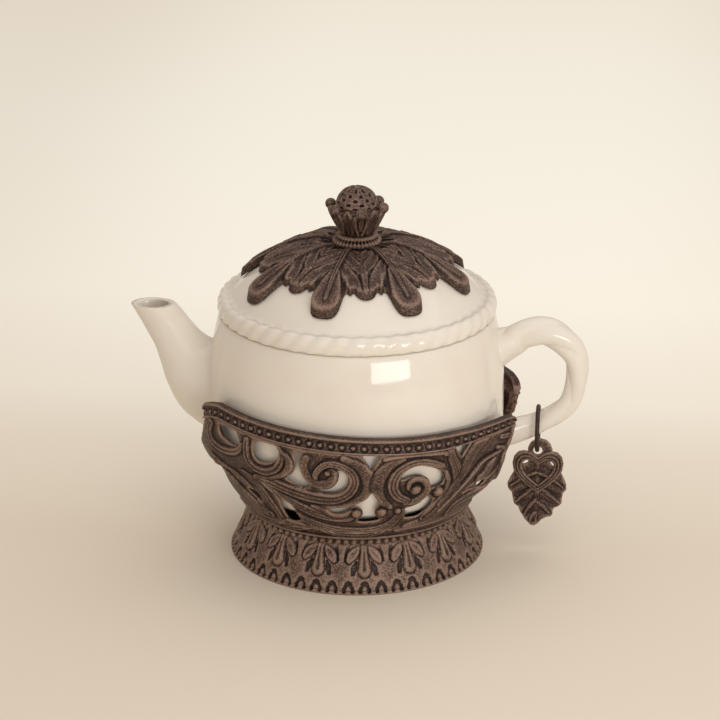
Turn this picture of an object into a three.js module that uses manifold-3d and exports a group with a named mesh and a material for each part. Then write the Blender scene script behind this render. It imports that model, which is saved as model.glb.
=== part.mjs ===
// A glazed ceramic teapot that sits in a pierced cast metal stand, with a metal leaf cap on its lid
// and a heart charm on a ring round its handle. Millimetres, +Z up, origin on the floor under the
// pot's axis, handle on +X, spout on -X, front on -Y.
import * as THREE from "three";
import { mergeVertices } from "three/addons/utils/BufferGeometryUtils.js";
import Module from "manifold-3d";

const wasm = await Module();
wasm.setup();

const roundSegments = 44; // facets of the large round pieces

// Clearances
const seatGap = 0.3; // between pieces that touch on the real object
const screwGap = 0.3; // round a screw or stud in its hole

// Stand: foot, waist collar and basket
const footRadius = 71.7;
const footHeight = 25.5;
const footRimHeight = 3;
const footWall = 4;
const footRoundness = 1.1;
const footLeafCount = 14;
const footLeafTurn = 9; // degrees from the front to the first leaf
const footRelief = 1.1; // from the leaves down to the ground between them
const footLeafShape = [1, 0.1, 0.8, 0.1, 0.7, 0.1, 0.8, 0.1]; // how raised, round one leaf's pitch
const footLowShape = [1, 0.1, 0.1, 0.1, 0.7, 0.1, 0.1, 0.1]; // the same near the leaves' tips
const footRimRaised = 0.5; // how raised the foot is at its rim
const footTipRaised = 0.2; // how raised it is below the leaves
const footFlangeThickness = 3;
const waistRadius = 60.8;
const collarHeight = 4.5;
const collarBeadBulge = 1.2;
const collarCove = 1.4; // from the beads' top in to the cove below them
const collarFillet = 0.6;
const collarSteps = [0.1, 0.2, 0.4, 0.8]; // heights of its fillet, cove and bead band, as shares
const collarInset = 12.8; // from the waist in to the collar's bore
const basketWall = 4;
const basketRoundness = 1.9;
const basketBaseHeight = 6;
const ledgeThickness = 3;
const ledgeReach = 17.8; // from the waist in to the ledge's bore
const railTop = 101.2; // at the pot's axis
const railHeight = 10.2;
const railSlope = 0.06; // the rail is lower at the handle than at the spout
const railProud = 1.8;
const railLip = 1.8;
const railRound = 1.4;
const railGroove = 1; // depth of the groove under the lip
const railGrooveHalf = 0.6;
const handleNotchHalf = 23;
const spoutNotchHalf = 41;
const notchFootSteps = [[-10, 0], [-6, 14], [3.6, 31.4]]; // [out from the half width, above its floor]
const notchEarSteps = [[0, 8], [1.5, 4.6], [7, 1.8], [18, 0]]; // [out, below the rail's corner]
const cutterReach = 10; // how far a cutting body goes past what it cuts

// Screws that hold foot, collar and basket together
const screwCount = 3;
const screwRadius = 2;
const screwHeadRadius = 3.6;
const screwHeadHeight = 2.5;
const screwInset = 8.3; // from the waist in to the screws' circle
const screwEndCover = 1; // metal left above the blind holes

// Soft pad that the pot rests on
const padThickness = 1.2;
const padWidth = 6;

// Pot
const bowlRadius = 82.1;
const bowlHeight = 105.2;
const bowlWidestHeight = 61.6;
const bowlMouthRadius = 76.3;
const bowlWall = 4.5;
const bowlFloor = 5;
const bowlRoundness = 3;
const bowlShoulder = 2.2;
const bowlOutsideSteps = [0, 0.03, 0.076, 0.15, 0.27, 0.44, 0.63, 0.82]; // heights of its facets
const bowlInsideSteps = [0.115, 0.285, 0.57, 0.81];
const bowlSeatInset = 10.8; // from the stand's waist in to the bowl's foot ring
const bowlFootRingWidth = 8;
const bowlFootRecess = 2;
const bowlMouthLip = 1.5; // the bowl's mouth is this much narrower than the wall below it
const bowlToRail = 3.9;
const strainerHoleRadius = 2.6;
const strainerPitch = 11;
const spoutTopHeight = 105.4;
const strandRelief = 0.07; // height of the handle's twisted strands, as a share of its thickness
const strandCount = 3;
const handleTwist = 2.5; // turns along the handle

// Lid
const lidFlangeDepth = 7.6;
const lidFlangeWall = 4.5;
const lidFlangeGap = 1.7;
const lidWall = 5;
const lidRise = 37.9; // from the bowl's rim to the top of the dome
const lidDomeDrop = 27.6;
const lidRopeHalfWidth = 4;
const lidRopeHalfHeight = 4.4;
const lidRopeInset = 2.9; // from the bowl's mouth radius in to the rope's centre
const lidDomePower = 2.55;

// Leaf cap and finial on the lid
const capThickness = 3.2;
const capLeafCount = 8;
// One half of a leaf: [degrees from its middle line, distance from the axis, thickness]
const capLeafSteps = [
  [0, 65, 5],
  [4, 64.6, 4.4],
  [7, 61.5, 3.8],
  [8.5, 55.5, 3.4],
  [10, 50.6, 2.9],
  [13.5, 51.8, 4.1],
  [18, 53, 3.1],
  [22.5, 54.6, 4.3],
];
const capFlatRadius = 14; // the cap is even inside this, under the finial
const capRiseRun = 10; // and reaches its full relief this much further out
const capTurn = 33.5; // degrees from the front to one leaf tip
const finialCollarRadius = 13.3;
const finialCollarHeight = 5.6;
const finialNeckRadius = 8.2;
const finialCupRadius = 16.5;
const finialCupHeight = 13.5;
const finialCupWall = 3;
const finialCurlRadius = 3.4;
const finialCurlCount = 6;
const finialCurlTurn = 15; // degrees from the front to the first curl
const finialCupSteps = [0.3, 0.75]; // heights of the cup's bends, as shares
const finialCupFloor = 0.6;
const finialBudSteps = [0.42, 0.66, 0.9]; // heights of the bud's bends, as shares
const finialBudRadius = 11.6;
const finialBudHeight = 13.2;
const studRadius = 2.4;
const gasketRadius = 9;
const gasketThickness = 2.4;
const washerRadius = 8;
const washerThickness = 1.1;
const nutRadius = 4.7;
const nutHeight = 4;
const studTail = 1.6; // stud below the nut

// Charm on the handle
const ringRadius = 12.2; // to the middle of its wire
const ringWireRadius = 1.25;
const ringStation = 101.5; // along +X
const charmHoleRadius = 3;
const charmTabRadius = 7;
const charmLeafThickness = 2.8;
const charmHeartThickness = 2.4;
const charmHeartRim = 4;
const charmHeartWidth = 29;
const charmHeartHeight = 26;
const charmHeartTop = 1; // above the wire
const charmNeckHalf = 4;
const charmLeafOutline = [ // left half, as [across, down] from the ring's wire
  [0, 47],
  [5, 40.5],
  [11, 35],
  [12, 30],
  [15.6, 28.5],
  [15.5, 24],
  [16.6, 21.5],
  [13.5, 14],
  [9, 11],
  [0, 9],
];

// Heights that follow from the sizes above
const collarBottom = footHeight + seatGap;
const collarTop = collarBottom + collarHeight;
const baseBottom = collarTop + seatGap;
const ledgeTop = baseBottom + ledgeThickness;
const baseTop = baseBottom + basketBaseHeight;
const potBase = ledgeTop + seatGap + padThickness + seatGap;
const railRadius = bowlRadius + bowlToRail + basketWall;
const railBottom = railTop - railHeight;
const bowlSeatRadius = waistRadius - bowlSeatInset;

const glazedStoneware = new THREE.MeshStandardMaterial({
  color: 0xe8dcc6,
  roughness: 0.2,
  metalness: 0,
});
const antiqueCasting = new THREE.MeshStandardMaterial({
  color: 0x5b4538,
  roughness: 0.55,
  metalness: 0.5,
});
const darkWire = new THREE.MeshStandardMaterial({
  color: 0x33261f,
  roughness: 0.45,
  metalness: 0.6,
});
const zincSteel = new THREE.MeshStandardMaterial({
  color: 0x9a9a98,
  roughness: 0.35,
  metalness: 0.9,
});
const softRubber = new THREE.MeshStandardMaterial({
  color: 0x2b2927,
  roughness: 0.8,
  metalness: 0,
});

// A closed geometry as a solid, faces out whichever way its profile ran.
function solidOf(geometry) {
  const loose = geometry.index ? geometry.toNonIndexed() : geometry.clone();
  loose.deleteAttribute("normal");
  loose.deleteAttribute("uv");
  const merged = mergeVertices(loose, 1e-4);
  const triVerts = new Uint32Array(merged.index.array);
  const vertProperties = merged.attributes.position.array;
  const made = new wasm.Manifold(new wasm.Mesh({ numProp: 3, vertProperties, triVerts }));
  if (made.volume() > 0) return made;
  for (let i = 0; i < triVerts.length; i += 3) {
    [triVerts[i + 1], triVerts[i + 2]] = [triVerts[i + 2], triVerts[i + 1]];
  }
  return new wasm.Manifold(new wasm.Mesh({ numProp: 3, vertProperties, triVerts }));
}

function meshOf(name, solid, material) {
  const { numProp, numVert, vertProperties, triVerts } = solid.getMesh();
  const positions = new Float32Array(numVert * 3);
  for (let i = 0; i < numVert; i++) {
    positions.set(vertProperties.subarray(i * numProp, i * numProp + 3), i * 3);
  }
  const geometry = new THREE.BufferGeometry();
  geometry.setAttribute("position", new THREE.BufferAttribute(positions, 3));
  geometry.setIndex(new THREE.BufferAttribute(triVerts, 1));
  geometry.computeVertexNormals();
  const mesh = new THREE.Mesh(geometry, material);
  mesh.name = name;
  return mesh;
}

// A profile of [radius, height] points turned round Z. It ends on the axis or closes on itself.
function turned(profile, segments = roundSegments) {
  const points = profile.map(([r, z]) => new THREE.Vector2(r, z));
  const onAxis = profile[0][0] === 0 && profile.at(-1)[0] === 0;
  if (!onAxis) points.push(points[0].clone());
  return solidOf(new THREE.LatheGeometry(points, segments).rotateX(Math.PI / 2));
}

function disc(radius, bottom, height, segments = 16) {
  const cylinder = new THREE.CylinderGeometry(radius, radius, height, segments);
  return solidOf(cylinder.rotateX(Math.PI / 2).translate(0, 0, bottom + height / 2));
}

function ring(outer, inner, bottom, height, segments = 32) {
  const top = bottom + height;
  return turned([[inner, bottom], [outer, bottom], [outer, top], [inner, top]], segments);
}

// An outline of [across, up] points pushed through along +Y, from y0 to y1.
function plate(shape, y0, y1, curveSegments = 8) {
  const flat = new THREE.ExtrudeGeometry(shape, {
    depth: y1 - y0,
    bevelEnabled: false,
    curveSegments,
  });
  return solidOf(flat.rotateX(Math.PI / 2).translate(0, y1, 0));
}

// Rings of points skinned into one closed body, with flat ends.
function loft(rings) {
  const sides = rings[0].length;
  const positions = [];
  const add = (...points) => points.forEach((p) => positions.push(p.x, p.y, p.z));
  for (let i = 1; i < rings.length; i++) {
    for (let j = 0; j < sides; j++) {
      const k = (j + 1) % sides;
      add(rings[i - 1][j], rings[i - 1][k], rings[i][k]);
      add(rings[i - 1][j], rings[i][k], rings[i][j]);
    }
  }
  for (const [end, turn] of [[rings[0], 1], [rings.at(-1), 0]]) {
    const middle = new THREE.Vector3();
    end.forEach((p) => middle.addScaledVector(p, 1 / sides));
    for (let j = 0; j < sides; j++) {
      const k = (j + 1) % sides;
      add(middle, turn ? end[k] : end[j], turn ? end[j] : end[k]);
    }
  }
  const geometry = new THREE.BufferGeometry();
  geometry.setAttribute("position", new THREE.Float32BufferAttribute(positions, 3));
  return solidOf(geometry);
}

// A tube in the XZ plane through stations of [x, z, half thickness, half width across Y].
// relief(angle, share) scales the section, where share runs from 0 to 1 along the tube.
function planarTube(stations, steps, sides, relief = () => 1) {
  const centres = new THREE.CatmullRomCurve3(
    stations.map(([x, z]) => new THREE.Vector3(x, 0, z)),
  );
  const halves = new THREE.CatmullRomCurve3(
    stations.map(([, , thick, wide]) => new THREE.Vector3(thick, wide, 0)),
  );
  const rings = [];
  for (let i = 0; i <= steps; i++) {
    const share = i / steps;
    const centre = centres.getPoint(share);
    const along = centres.getTangent(share);
    const half = halves.getPoint(share);
    rings.push(
      Array.from({ length: sides }, (_, j) => {
        const angle = (j / sides) * 2 * Math.PI;
        const size = relief(angle, share);
        const out = Math.cos(angle) * half.x * size;
        return new THREE.Vector3(
          centre.x - along.z * out,
          Math.sin(angle) * half.y * size,
          centre.z + along.x * out,
        );
      }),
    );
  }
  return loft(rings);
}

const radians = THREE.MathUtils.degToRad;

// A point at a bearing in degrees, counted from the front (-Y) towards the handle (+X).
function atBearing(bearing, radius, z) {
  const a = radians(bearing);
  return new THREE.Vector3(radius * Math.sin(a), -radius * Math.cos(a), z);
}

// Basket's outer radius at a height
function basketRadius(z) {
  const share = THREE.MathUtils.clamp((z - footHeight) / (railTop - footHeight), 0, 1);
  return waistRadius + (railRadius - waistRadius) * (1 - (1 - share) ** basketRoundness);
}

// Bowl's outer radius at a height above its own foot
function bowlOuter(z) {
  if (z < bowlWidestHeight) {
    const low = 1 - z / bowlWidestHeight;
    return bowlSeatRadius + (bowlRadius - bowlSeatRadius) * (1 - low ** bowlRoundness);
  }
  const high = (z - bowlWidestHeight) / (bowlHeight - bowlWidestHeight);
  return bowlRadius - (bowlRadius - bowlMouthRadius) * high ** bowlShoulder;
}

function heightsBetween(low, high, count) {
  return Array.from({ length: count + 1 }, (_, i) => low + ((high - low) * i) / count);
}

// Columns of points round the axis, each closing on itself, skinned into one ring.
function wrapped(columns) {
  const positions = [];
  columns.forEach((column, i) => {
    const next = columns[(i + 1) % columns.length];
    column.forEach((point, j) => {
      const k = (j + 1) % column.length;
      for (const p of [point, next[j], next[k], point, next[k], column[k]]) {
        positions.push(p.x, p.y, p.z);
      }
    });
  });
  const geometry = new THREE.BufferGeometry();
  geometry.setAttribute("position", new THREE.Float32BufferAttribute(positions, 3));
  return solidOf(geometry);
}

// The foot: a flared hollow casting with leaves in low relief and a flange for the screws
function makeFoot() {
  const flangeBottom = footHeight - footFlangeThickness;
  const bore = waistRadius - collarInset;
  const levels = heightsBetween(footRimHeight, footHeight, 5);
  const count = footLeafCount * footLeafShape.length;
  const columns = Array.from({ length: count }, (_, i) => {
    const bearing = footLeafTurn + (360 / count) * i;
    const place = i % footLeafShape.length;
    const leaf = footLeafShape[place];
    const raised = [footRimRaised, footTipRaised, footLowShape[place], leaf, leaf, 1];
    const flare = levels.map((z, level) => {
      const share = (z - footRimHeight) / (footHeight - footRimHeight);
      const full = waistRadius + (footRadius - waistRadius) * (1 - share ** footRoundness);
      return [full - footRelief * (1 - raised[level]), z];
    });
    const profile = [
      [footRadius - footWall, 0],
      [footRadius, 0],
      ...flare,
      [bore, footHeight],
      [bore, flangeBottom],
      [waistRadius - footWall + 1, flangeBottom],
      [footRadius - footWall, footRimHeight],
    ];
    return profile.map(([r, z]) => atBearing(bearing, r, z));
  });
  return wrapped(columns);
}

function makeCollar() {
  const topRadius = basketRadius(collarTop);
  const bead = topRadius + collarBeadBulge;
  const [fillet, cove, beadLow, beadHigh] = collarSteps.map((s) => collarBottom + collarHeight * s);
  return turned([
    [waistRadius - collarInset, collarBottom],
    [waistRadius, collarBottom],
    [waistRadius + collarFillet, fillet],
    [bead - collarCove, cove],
    [bead, beadLow],
    [bead, beadHigh],
    [topRadius, collarTop],
    [waistRadius - collarInset, collarTop],
  ]);
}

// The basket's shell between two heights, a wall thick
function basketShell(bottom, top, steps) {
  const outer = heightsBetween(bottom, top, steps).map((z) => [basketRadius(z), z]);
  const inner = outer.map(([r, z]) => [r - basketWall, z]).reverse();
  return turned([...outer, ...inner]);
}

function makeBasketBase() {
  const bore = waistRadius - ledgeReach;
  const outer = heightsBetween(baseBottom, baseTop, 4).map((z) => [basketRadius(z), z]);
  const inner = heightsBetween(ledgeTop, baseTop, 3).map((z) => [basketRadius(z) - basketWall, z]);
  return turned([[bore, baseBottom], ...outer, ...inner.reverse(), [bore, ledgeTop]]);
}

function screwSpots() {
  return Array.from({ length: screwCount }, (_, i) =>
    atBearing(30 + (360 / screwCount) * i, waistRadius - screwInset, 0),
  );
}

function makeScrew(spot) {
  const headTop = footHeight - footFlangeThickness - seatGap;
  const tip = ledgeTop - screwEndCover - seatGap;
  const head = disc(screwHeadRadius, headTop - screwHeadHeight, screwHeadHeight);
  const shank = disc(screwRadius, headTop - 0.5, tip - headTop + 0.5, 12);
  return head.add(shank).translate([spot.x, spot.y, 0]);
}

function drilled(solid) {
  const bottom = footHeight - footFlangeThickness - 1;
  const depth = ledgeTop - screwEndCover - bottom;
  return screwSpots().reduce((rest, spot) => {
    const hole = disc(screwRadius + screwGap, bottom, depth, 12);
    return rest.subtract(hole.translate([spot.x, spot.y, 0]));
  }, solid);
}

// Everything above a height that falls towards the handle with the rail's slope
function aboveSlope(heightAtAxis) {
  const size = 4 * railRadius;
  const box = new THREE.BoxGeometry(size, size, railTop);
  box.translate(0, 0, heightAtAxis + railTop / 2);
  return solidOf(box.applyMatrix4(new THREE.Matrix4().makeShear(0, -railSlope, 0, 0, 0, 0)));
}

// The gap between the front and back halves of the basket, at the handle (side 1) or spout (-1)
function notch(side) {
  const half = side > 0 ? handleNotchHalf : spoutNotchHalf;
  const bottom = baseTop + seatGap;
  const corner = railTop - side * railSlope * railRadius;
  const right = [
    ...notchFootSteps.map(([out, up]) => [half + out, bottom + up]),
    ...notchEarSteps.map(([out, down]) => [half + out, corner - down]),
    [half + notchEarSteps.at(-1)[0], corner + cutterReach],
  ];
  const left = right.map(([across, z]) => [-across, z]).reverse();
  const shape = new THREE.Shape([...right, ...left].map(([a, z]) => new THREE.Vector2(a, z)));
  const block = plate(shape, 0, railRadius + cutterReach);
  return block.rotate([0, 0, side > 0 ? -90 : 90]);
}

const notches = [notch(1), notch(-1)];

// Half of the basket or of its rail: the front (-1) or the back (1)
function halfOf(solid, side) {
  const size = 4 * railRadius;
  const box = new THREE.BoxGeometry(size, size, size);
  const keep = solidOf(box.translate(0, (side * size) / 2, 0));
  return notches.reduce((rest, gap) => rest.subtract(gap), solid.intersect(keep));
}

// Openings of the front panel as [bearing, height] points. Round ones are drawn as smooth curves.
const roundOpenings = [
  [[-51.5, 89.4], [-42.5, 90.1], [-40.9, 85.3], [-44.3, 82.8], [-51, 84.6]], // first eye, under the rail
  [[-33.7, 88], [-25.3, 88.6], [-23, 85.4], [-24.5, 81.6], [-30.7, 78.5], [-34.6, 81]], // second eye
  [[-10.2, 68.3], [-4.5, 65.1], [1.8, 68.7], [3.1, 74.3], [0.3, 79.8], [-0.4, 72.7], [-4.5, 67.9]], // volute
  [[21.9, 73.7], [25, 78.5], [29.7, 80.3], [37.2, 74.3], [39, 68], [35.2, 65.3], [32.7, 70.3], [27.7, 75.2]],
  [[-31.7, 64], [-26.2, 58.1], [-20.8, 49.4], [-19.7, 44.2], [-26.4, 40.9], [-27.4, 48.7]], // almond
];
const pointedOpenings = [
  [[-17.1, 89.7], [-14, 89.7], [-15.2, 79.5], [-11.9, 68.3], [-21.6, 72.2], [-16.7, 81]],
  [[7.5, 89], [13.5, 88.7], [10.8, 80.6]], // above the two volutes
  [[11.2, 64.7], [14.3, 58.6], [12.8, 52.2], [15, 46.9], [5.9, 45.8], [7.9, 51.1], [5.5, 57.1]],
  [[-8, 53.6], [4.5, 56.5], [2.5, 53.1], [-3.7, 50.4]],
  [[25.6, 52.3], [34.3, 57.8], [36.9, 55.2], [31, 44.7], [26.4, 44.8]],
  [[43.4, 87.5], [48.7, 86.7], [46.5, 79.1]],
  [[59.8, 55.9], [64.5, 55.8], [57.1, 52.1]],
];

// A radial prism through the basket wall
function opening(points, round) {
  const middle = points.reduce((sum, [bearing]) => sum + bearing / points.length, 0);
  const flat = points.map(([bearing, z]) => {
    const across = basketRadius(z) * Math.sin(radians(bearing - middle));
    return new THREE.Vector2(across, z);
  });
  const curve = new THREE.CatmullRomCurve3(
    flat.map((p) => new THREE.Vector3(p.x, p.y, 0)),
    true,
  );
  const outline = round ? curve.getPoints(12).slice(0, -1) : flat;
  const shape = new THREE.Shape(outline.map((p) => new THREE.Vector2(p.x, p.y)));
  const prism = plate(shape, -railRadius - cutterReach, cutterReach - waistRadius);
  return prism.rotate([0, 0, middle]);
}

// A raised band on the basket along [bearing, height, half width] points
function raisedBand(points, steps) {
  const path = new THREE.CatmullRomCurve3(points.map((p) => new THREE.Vector3(...p)));
  const sides = 5;
  const proud = 1.6;
  const sunk = 1.2;
  const place = (p, lift) => atBearing(p.x, basketRadius(p.y) + lift, p.y);
  const rings = [];
  for (let i = 0; i <= steps; i++) {
    const p = path.getPoint(i / steps);
    const centre = place(p, 0);
    const ahead = place(path.getPoint(Math.min(1, i / steps + 0.01)), 0);
    const behind = place(path.getPoint(Math.max(0, i / steps - 0.01)), 0);
    const outward = place(p, 1).sub(centre);
    const across = ahead.sub(behind).normalize().cross(outward).normalize();
    rings.push(
      Array.from({ length: sides }, (_, j) => {
        const angle = (j / sides) * 2 * Math.PI;
        const lift = Math.sin(angle) > 0 ? proud * Math.sin(angle) : sunk * Math.sin(angle);
        return centre
          .clone()
          .addScaledVector(across, Math.cos(angle) * p.z)
          .addScaledVector(outward, lift);
      }),
    );
  }
  return loft(rings);
}

// A band that winds in round a middle, from one radius to another, angles in degrees
function volute(bearing, height, fromRadius, toRadius, fromAngle, toAngle, halfWidth) {
  const perDegree = radians(basketRadius(height)); // millimetres along the wall per degree
  const count = 9;
  return Array.from({ length: count }, (_, i) => {
    const share = i / (count - 1);
    const radius = THREE.MathUtils.lerp(fromRadius, toRadius, share);
    const angle = radians(THREE.MathUtils.lerp(fromAngle, toAngle, share));
    return [
      bearing + (radius * Math.cos(angle)) / perDegree,
      height + radius * Math.sin(angle),
      THREE.MathUtils.lerp(halfWidth, halfWidth * 0.6, share),
    ];
  });
}

const bands = [
  volute(-3.6, 74.3, 18, 7, -150, 170, 4.2),
  volute(27.8, 69.3, 17, 7, 70, 330, 4.2),
  [[-51.2, 73.6, 3], [-36.8, 65.4, 3.6], [-17.7, 57.3, 3.4], [-2.8, 47.8, 2.6], [6, 48.9, 2]],
  [[59.7, 75, 3], [51.6, 62.9, 3.6], [41.4, 53.5, 3.4], [28.5, 42.7, 2.8], [10.5, 42, 2.2]],
];
const scrollBalls = [[-3.6, 75.9, 6.6], [27.9, 67.7, 6.6]];

function makePanel(side) {
  const shell = basketShell(baseTop + seatGap, railTop, 5).subtract(
    aboveSlope(railBottom - seatGap),
  );
  let pierced = shell;
  for (const points of roundOpenings) pierced = pierced.subtract(opening(points, true));
  for (const points of pointedOpenings) pierced = pierced.subtract(opening(points, false));
  for (const points of bands) pierced = pierced.add(raisedBand(points, 10));
  for (const [bearing, height, radius] of scrollBalls) {
    const ball = new THREE.SphereGeometry(radius, 7, 5).scale(1, 0.45, 1);
    const at = atBearing(bearing, basketRadius(height), height);
    ball.rotateZ(radians(bearing)).translate(at.x, at.y, at.z);
    pierced = pierced.add(solidOf(ball));
  }
  pierced = pierced.subtract(aboveSlope(railBottom - seatGap));
  const front = halfOf(pierced, -1);
  return side < 0 ? front : front.mirror([0, 1, 0]);
}

function makeRail(side) {
  const outer = railRadius + railProud;
  const inner = railRadius - basketWall;
  const whole = new THREE.LatheGeometry(
    [
      [inner, railBottom],
      [outer - railGroove, railBottom],
      [outer, railBottom + railRound],
      [outer, railTop - railLip - 2 * railGrooveHalf],
      [outer - railGroove, railTop - railLip - railGrooveHalf],
      [outer, railTop - railLip],
      [outer, railTop],
      [inner, railTop],
      [inner, railBottom],
    ].map(([r, z]) => new THREE.Vector2(r, z)),
    roundSegments,
  ).rotateX(Math.PI / 2);
  const sloped = whole.applyMatrix4(new THREE.Matrix4().makeShear(0, -railSlope, 0, 0, 0, 0));
  return halfOf(solidOf(sloped), side);
}

// Pot pieces are made in the pot's own frame, whose floor is the bowl's foot ring
const filledBowl = (() => {
  const outer = heightsBetween(0, bowlHeight, 14).map((z) => [bowlOuter(z) + seatGap, z]);
  return turned([[0, 0], ...outer, [0, bowlHeight]]);
})();

function makeBowl() {
  const outer = bowlOutsideSteps.map((s) => [bowlOuter(s * bowlHeight), s * bowlHeight]);
  const inner = [bowlFloor, ...bowlInsideSteps.map((s) => s * bowlHeight)]
    .map((z) => [bowlOuter(z) - bowlWall, z])
    .reverse();
  inner[inner.length - 1][0] = bowlSeatRadius - bowlFootRingWidth / 2;
  const rim = bowlMouthRadius;
  const mouth = rim - bowlWall - bowlMouthLip;
  let bowl = turned([
    [0, bowlFootRecess],
    [bowlSeatRadius - bowlFootRingWidth - 1, bowlFootRecess],
    [bowlSeatRadius - bowlFootRingWidth, 0],
    ...outer,
    [rim, bowlHeight],
    [mouth, bowlHeight],
    ...inner,
    [0, bowlFloor],
  ]);
  for (const across of [-strainerPitch, 0, strainerPitch]) {
    for (const up of [-strainerPitch / 2, strainerPitch / 2]) {
      const hole = new THREE.CylinderGeometry(strainerHoleRadius, strainerHoleRadius, 40, 10);
      hole.rotateZ(Math.PI / 2).translate(-bowlRadius, across, bowlWidestHeight + 4 + up);
      bowl = bowl.subtract(solidOf(hole));
    }
  }
  return bowl;
}

// [outward from the bowl's widest radius, height, half thickness, half width]
const spoutStations = [
  [37.6, 112.9, 9.4, 9.3],
  [32.9, 105.1, 9.8, 9.7],
  [26.6, 96.8, 11.4, 10.8],
  [20.5, 87.4, 12.5, 12],
  [15.5, 78.9, 15, 13.8],
  [10.3, 71.8, 19.2, 16.4],
  [3.4, 65.6, 24.5, 19.5],
  [-8.1, 60.5, 27, 22],
];
const spoutBoreShare = [0.73, 0.73, 0.72, 0.72, 0.72, 0.72, 0.7, 0.66];

function makeSpout() {
  const stations = spoutStations.map(([out, z, thick, wide]) => [-bowlRadius - out, z, thick, wide]);
  const bore = stations.map(([x, z, thick, wide], i) => {
    const share = spoutBoreShare[i];
    return [x, z, thick * share, wide * share];
  });
  const above = new THREE.BoxGeometry(4 * bowlRadius, 4 * bowlRadius, bowlHeight);
  above.translate(0, 0, spoutTopHeight + bowlHeight / 2);
  return planarTube(stations, 12, 18)
    .subtract(planarTube(bore, 12, 12))
    .subtract(solidOf(above))
    .subtract(filledBowl);
}

const handleStations = [
  [-8.1, 83.5, 12],
  [3.3, 89.5, 9],
  [9.5, 94, 8.1],
  [18.7, 96.2, 8.1],
  [27.5, 94.6, 8],
  [35.3, 88.6, 7.5],
  [39.9, 79.6, 6.5],
  [40.2, 67.4, 6],
  [36.9, 55.9, 5.8],
  [29, 47.6, 5.9],
  [19, 41.6, 6.2],
  [9.5, 38.3, 7.2],
  [1.5, 36.3, 8.6],
  [-8.1, 35, 10],
].map(([out, z, half]) => [bowlRadius + out, z, half, half]);

function makeHandle() {
  const strands = (angle, share) =>
    1 + strandRelief * Math.cos(strandCount * (angle - 2 * Math.PI * handleTwist * share));
  return planarTube(handleStations, 32, 12, strands).subtract(filledBowl);
}

// Where the charm's ring hangs: centre, slope and largest radius of the handle's lower arm
function lowerArmAt(x) {
  const centres = new THREE.CatmullRomCurve3(
    handleStations.map(([px, pz, half]) => new THREE.Vector3(px, half, pz)),
  );
  let best = 1;
  for (let share = 1; share > 0.6; share -= 0.002) {
    if (Math.abs(centres.getPoint(share).x - x) < Math.abs(centres.getPoint(best).x - x)) {
      best = share;
    }
  }
  const centre = centres.getPoint(best);
  const along = centres.getTangent(best);
  const slope = Math.atan2(Math.abs(along.z), Math.abs(along.x));
  return { height: centre.z, slope, radius: centre.y * (1 + strandRelief) };
}

const arm = lowerArmAt(ringStation);
const ringCentre =
  arm.height + (arm.radius + ringWireRadius + seatGap) / Math.cos(arm.slope) - ringRadius;
const ringBottom = ringCentre - ringRadius;

function makeRing() {
  const torus = new THREE.TorusGeometry(ringRadius, ringWireRadius, 6, 28);
  return solidOf(torus.rotateY(Math.PI / 2).translate(ringStation, 0, ringCentre));
}

// Charm pieces are made round the spot where the ring's wire passes through the leaf's tab
const charmHoleCentre = -(charmHoleRadius - ringWireRadius - seatGap);

function makeCharmLeaf() {
  const half = charmLeafThickness / 2;
  const left = charmLeafOutline.map(([x, z]) => new THREE.Vector2(-x, -z));
  const right = charmLeafOutline.slice(1, -1).map(([x, z]) => new THREE.Vector2(x, -z));
  const shape = new THREE.Shape([...left, ...right.reverse()]);
  const tab = new THREE.Shape();
  tab.absarc(0, charmHoleCentre, charmTabRadius, 0, 2 * Math.PI);
  const neckTop = -charmNeckHalf;
  const neckBottom = -charmLeafOutline.at(-3)[1];
  const neck = new THREE.Shape([
    new THREE.Vector2(-charmNeckHalf, neckBottom),
    new THREE.Vector2(charmNeckHalf, neckBottom),
    new THREE.Vector2(charmNeckHalf, neckTop),
    new THREE.Vector2(-charmNeckHalf, neckTop),
  ]);
  const hole = new THREE.Shape();
  hole.absarc(0, charmHoleCentre, charmHoleRadius, 0, 2 * Math.PI);
  return plate(shape, -half, half)
    .add(plate(tab, -half, half, 12))
    .add(plate(neck, -half, half))
    .subtract(plate(hole, -half - 1, half + 1, 10));
}

function heartShape(width, height, top) {
  const w = width / 2;
  const shape = new THREE.Shape();
  shape.moveTo(0, top - height * 0.22);
  shape.bezierCurveTo(w * 0.25, top + height * 0.06, w, top + height * 0.04, w, top - height * 0.34);
  shape.bezierCurveTo(w, top - height * 0.62, w * 0.4, top - height * 0.72, 0, top - height);
  shape.bezierCurveTo(-w * 0.4, top - height * 0.72, -w, top - height * 0.62, -w, top - height * 0.34);
  shape.bezierCurveTo(-w, top + height * 0.04, -w * 0.25, top + height * 0.06, 0, top - height * 0.22);
  return shape;
}

function makeCharmHeart() {
  const back = -charmLeafThickness / 2 - seatGap;
  const front = back - charmHeartThickness;
  const top = charmHeartTop;
  const outer = heartShape(charmHeartWidth, charmHeartHeight, top);
  const rim = charmHeartRim;
  const inner = heartShape(charmHeartWidth - 2 * rim, charmHeartHeight - 2.4 * rim, top - rim);
  const hole = new THREE.Shape();
  hole.absarc(0, charmHoleCentre, charmHoleRadius, 0, 2 * Math.PI);
  return plate(outer, front, back)
    .subtract(plate(inner, front - 1, back + 1))
    .subtract(plate(hole, front - 1, back + 1, 10));
}

// Lid pieces are made in the lid's own frame, whose floor is the bowl's rim
function domeHeight(r) {
  return lidRise - lidDomeDrop * (r / domeEdge) ** lidDomePower;
}

function radiiBetween(from, to, count) {
  return Array.from({ length: count + 1 }, (_, i) => from + ((to - from) * i) / count);
}

const studHole = studRadius + screwGap;
const domeEdge = bowlMouthRadius - lidRopeInset - lidRopeHalfWidth;
const domeRadii = radiiBetween(domeEdge, studHole, 6);
const gasketSeat = gasketRadius + 1;
const domeInside = domeHeight(gasketSeat) - lidWall;

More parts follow.
